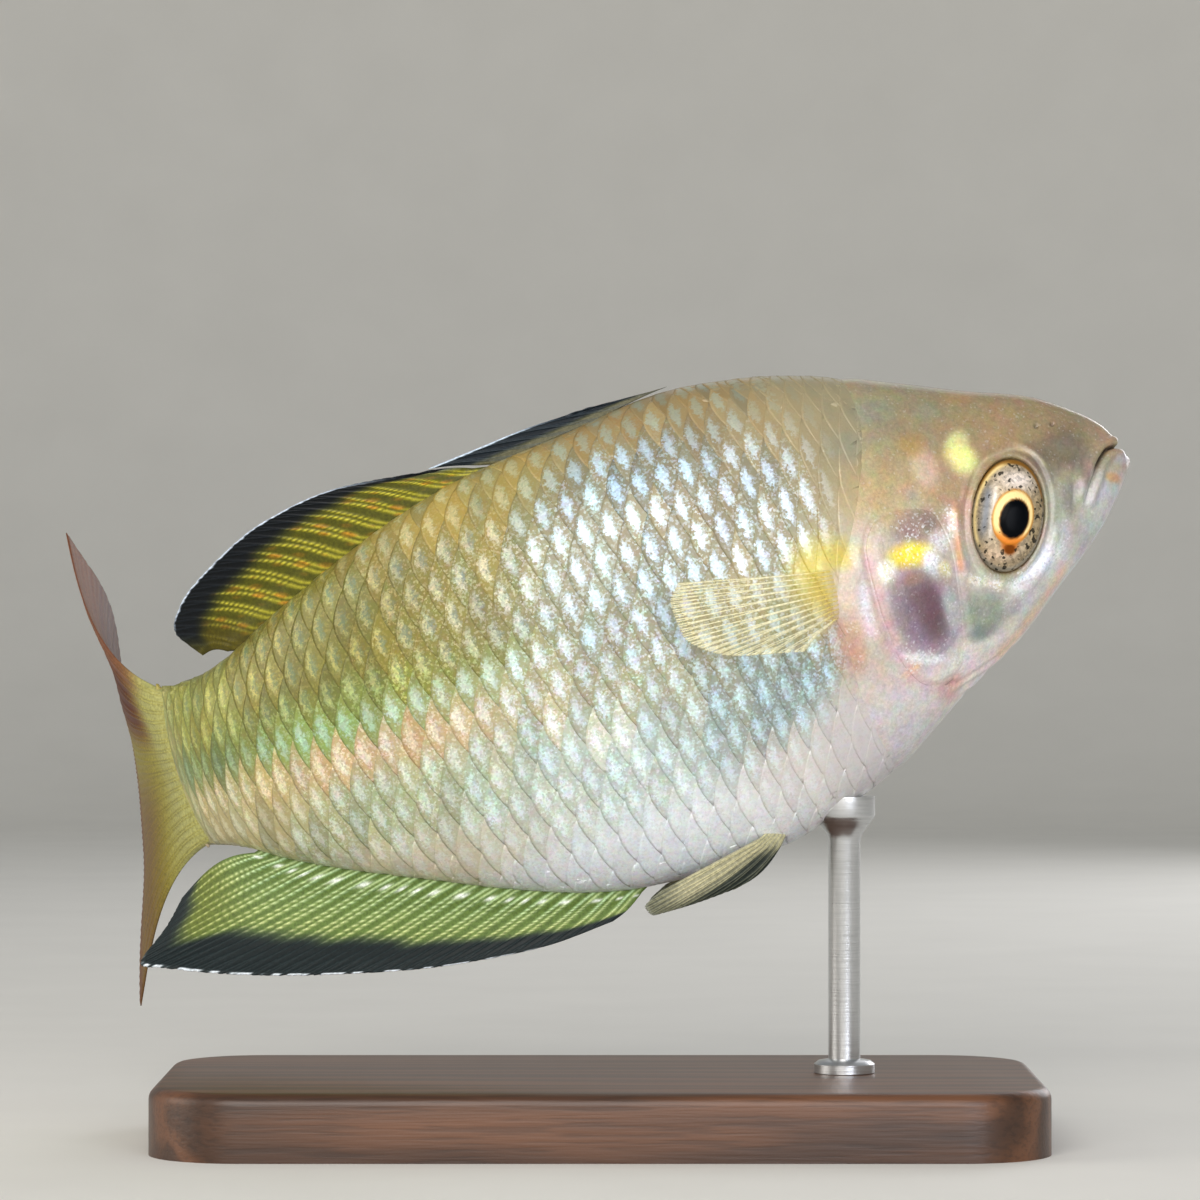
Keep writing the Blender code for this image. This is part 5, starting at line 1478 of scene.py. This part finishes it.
def makeWalnut():
    # Oiled walnut, planed and sanded: long brown figure along the board, fine pores, a low satin
    material, shader, add = newMaterial("oiledWalnut", {"Roughness": 0.42, "IOR": 1.5, "Coat Weight": 0.15,
                                                        "Coat Roughness": 0.3})
    place = add("ShaderNodeTexCoord", output="Object")
    # growth rings about 2.5 mm apart, drawn out along the board
    board = add("ShaderNodeMapping", None,
                {"Vector": place, "Scale": (0.06, 1.0, 0.7), "Rotation": (0.25, 0.0, 0.06)})
    wander = add("ShaderNodeTexNoise", None, {"Vector": board, "Scale": 120.0, "Detail": 4.0,
                                              "Roughness": 0.55, "Distortion": 0.8})
    rings = add("ShaderNodeTexWave", {"wave_type": "BANDS", "bands_direction": "Y"},
                {"Vector": board, "Scale": 95.0, "Distortion": 9.0, "Detail": 3.0, "Detail Scale": 2.0},
                "Fac")
    blend = add("ShaderNodeMath", {"operation": "MULTIPLY_ADD"}, {0: rings, 1: 0.55, 2: wander})
    figure = add("ShaderNodeValToRGB", None, {"Fac": blend})
    ramp = figure.node.color_ramp
    ramp.elements[0].color, ramp.elements[0].position = paint("#372215"), 0.25
    ramp.elements[1].color, ramp.elements[1].position = paint("#69432a"), 1.0
    ramp.elements.new(0.62).color = paint("#4a2d19")
    # pores 0.15 mm wide
    along = add("ShaderNodeMapping", None, {"Vector": place, "Scale": (0.05, 1.0, 1.0)})
    pores = add("ShaderNodeTexNoise", None, {"Vector": along, "Scale": 3800.0, "Detail": 1.0})
    tone = add("ShaderNodeMapRange", None,
               {"Value": pores, "From Min": 0.35, "From Max": 0.5, "To Min": 0.72, "To Max": 1.0})
    shaded = add("ShaderNodeVectorMath", {"operation": "SCALE"}, {0: figure, "Scale": tone})
    bumps = add("ShaderNodeBump", None, {"Strength": 0.25, "Distance": 0.0001, "Height": pores})
    feed(shader, {"Base Color": shaded, "Normal": bumps})
    return material


def makeSteel():
    # Stainless steel rod, brushed round its length
    material, shader, add = newMaterial("brushedSteel", {"Metallic": 1.0, "Roughness": 0.3})
    place = add("ShaderNodeTexCoord", output="Object")
    # brush marks 0.1 mm apart
    lines = add("ShaderNodeMapping", None, {"Vector": place, "Scale": (1.0, 1.0, 25.0)})
    brush = add("ShaderNodeTexNoise", None, {"Vector": lines, "Scale": 400.0, "Detail": 3.0})
    shades = {0: brush, 6: paint("#b9bbbd"), 7: paint("#dfe0e1")}
    tone = add("ShaderNodeMix", {"data_type": "RGBA"}, shades, 2)
    rough = add("ShaderNodeMapRange", None, {"Value": brush, "To Min": 0.22, "To Max": 0.4})
    bumps = add("ShaderNodeBump", None, {"Strength": 0.2, "Distance": 0.00005, "Height": brush})
    feed(shader, {"Base Color": tone, "Roughness": rough, "Normal": bumps})
    return material


def bevelWhere(piece, picked, offset, segments):
    mesh = bmesh.new()
    mesh.from_mesh(piece.data)
    edges = [e for e in mesh.edges if picked(e.verts[0].co, e.verts[1].co)]
    bmesh.ops.bevel(mesh, geom=edges, offset=offset * millimetre, segments=segments, profile=0.5,
                    affect="EDGES")
    mesh.to_mesh(piece.data)
    mesh.free()


def edgeOfBase(point):
    # On the outline of the base's top, straight or round the corner
    half = np.array([stand["length"] / 2, stand["depth"] / 2])
    past = np.abs([point.x, point.y]) / millimetre - (half - stand["corner"])
    if min(past) > 0:
        return math.hypot(*past) > stand["corner"] - 0.05
    return max(past) > stand["corner"] - 0.05


def makeBase():
    base = freshPrimitive(bpy.ops.mesh.primitive_cube_add, "walnutBase", size=1)
    size = np.array([stand["length"], stand["depth"], stand["height"]])
    movePoints(base, (pointsOf(base) * size + np.array([0, 0, stand["height"] / 2])) * millimetre)
    top = stand["height"] * millimetre - 1e-6
    bevelWhere(base, lambda a, b: abs(a.z - b.z) > 0.002, stand["corner"], 14)
    bevelWhere(base, lambda a, b: min(a.z, b.z) > top and edgeOfBase(a) and edgeOfBase(b), stand["edge"], 6)
    applyModifier(base, "TRIANGULATE")
    dress(base, makeWalnut(), ("stand_base",))
    base.data.set_sharp_from_angle(angle=math.radians(35))


def makeRod():
    x, y, z = fishPlace(np.array(stand["rodStation"]), 0.0, bellyAt(stand["rodStation"]))
    profile = stand["foot"] + [(z + above, width) for above, width in stand["pad"]]
    rod = freshPrimitive(bpy.ops.mesh.primitive_cylinder_add, "steelRod", vertices=64, radius=1, depth=2)
    mesh = bmesh.new()
    mesh.from_mesh(rod.data)
    upright = [e for e in mesh.edges if abs(e.verts[0].co.z - e.verts[1].co.z) > 1]
    bmesh.ops.subdivide_edges(mesh, edges=upright, cuts=len(profile) - 2, use_grid_fill=False)
    mesh.to_mesh(rod.data)
    mesh.free()
    points = pointsOf(rod)
    level = np.rint((points[:, 2] + 1) / 2 * (len(profile) - 1)).astype(int)
    heights, widths = np.array(profile).T
    across = points[:, :2] * widths[level, None] * stand["rodRadius"] + [x, y]
    movePoints(rod, np.column_stack([across, heights[level]]) * millimetre)
    faceOutwards(rod)
    dress(rod, makeSteel(), ("stand_rod",))
    rod.data.set_sharp_from_angle(angle=math.radians(35))


makeBase()
makeRod()

print("stage: done")
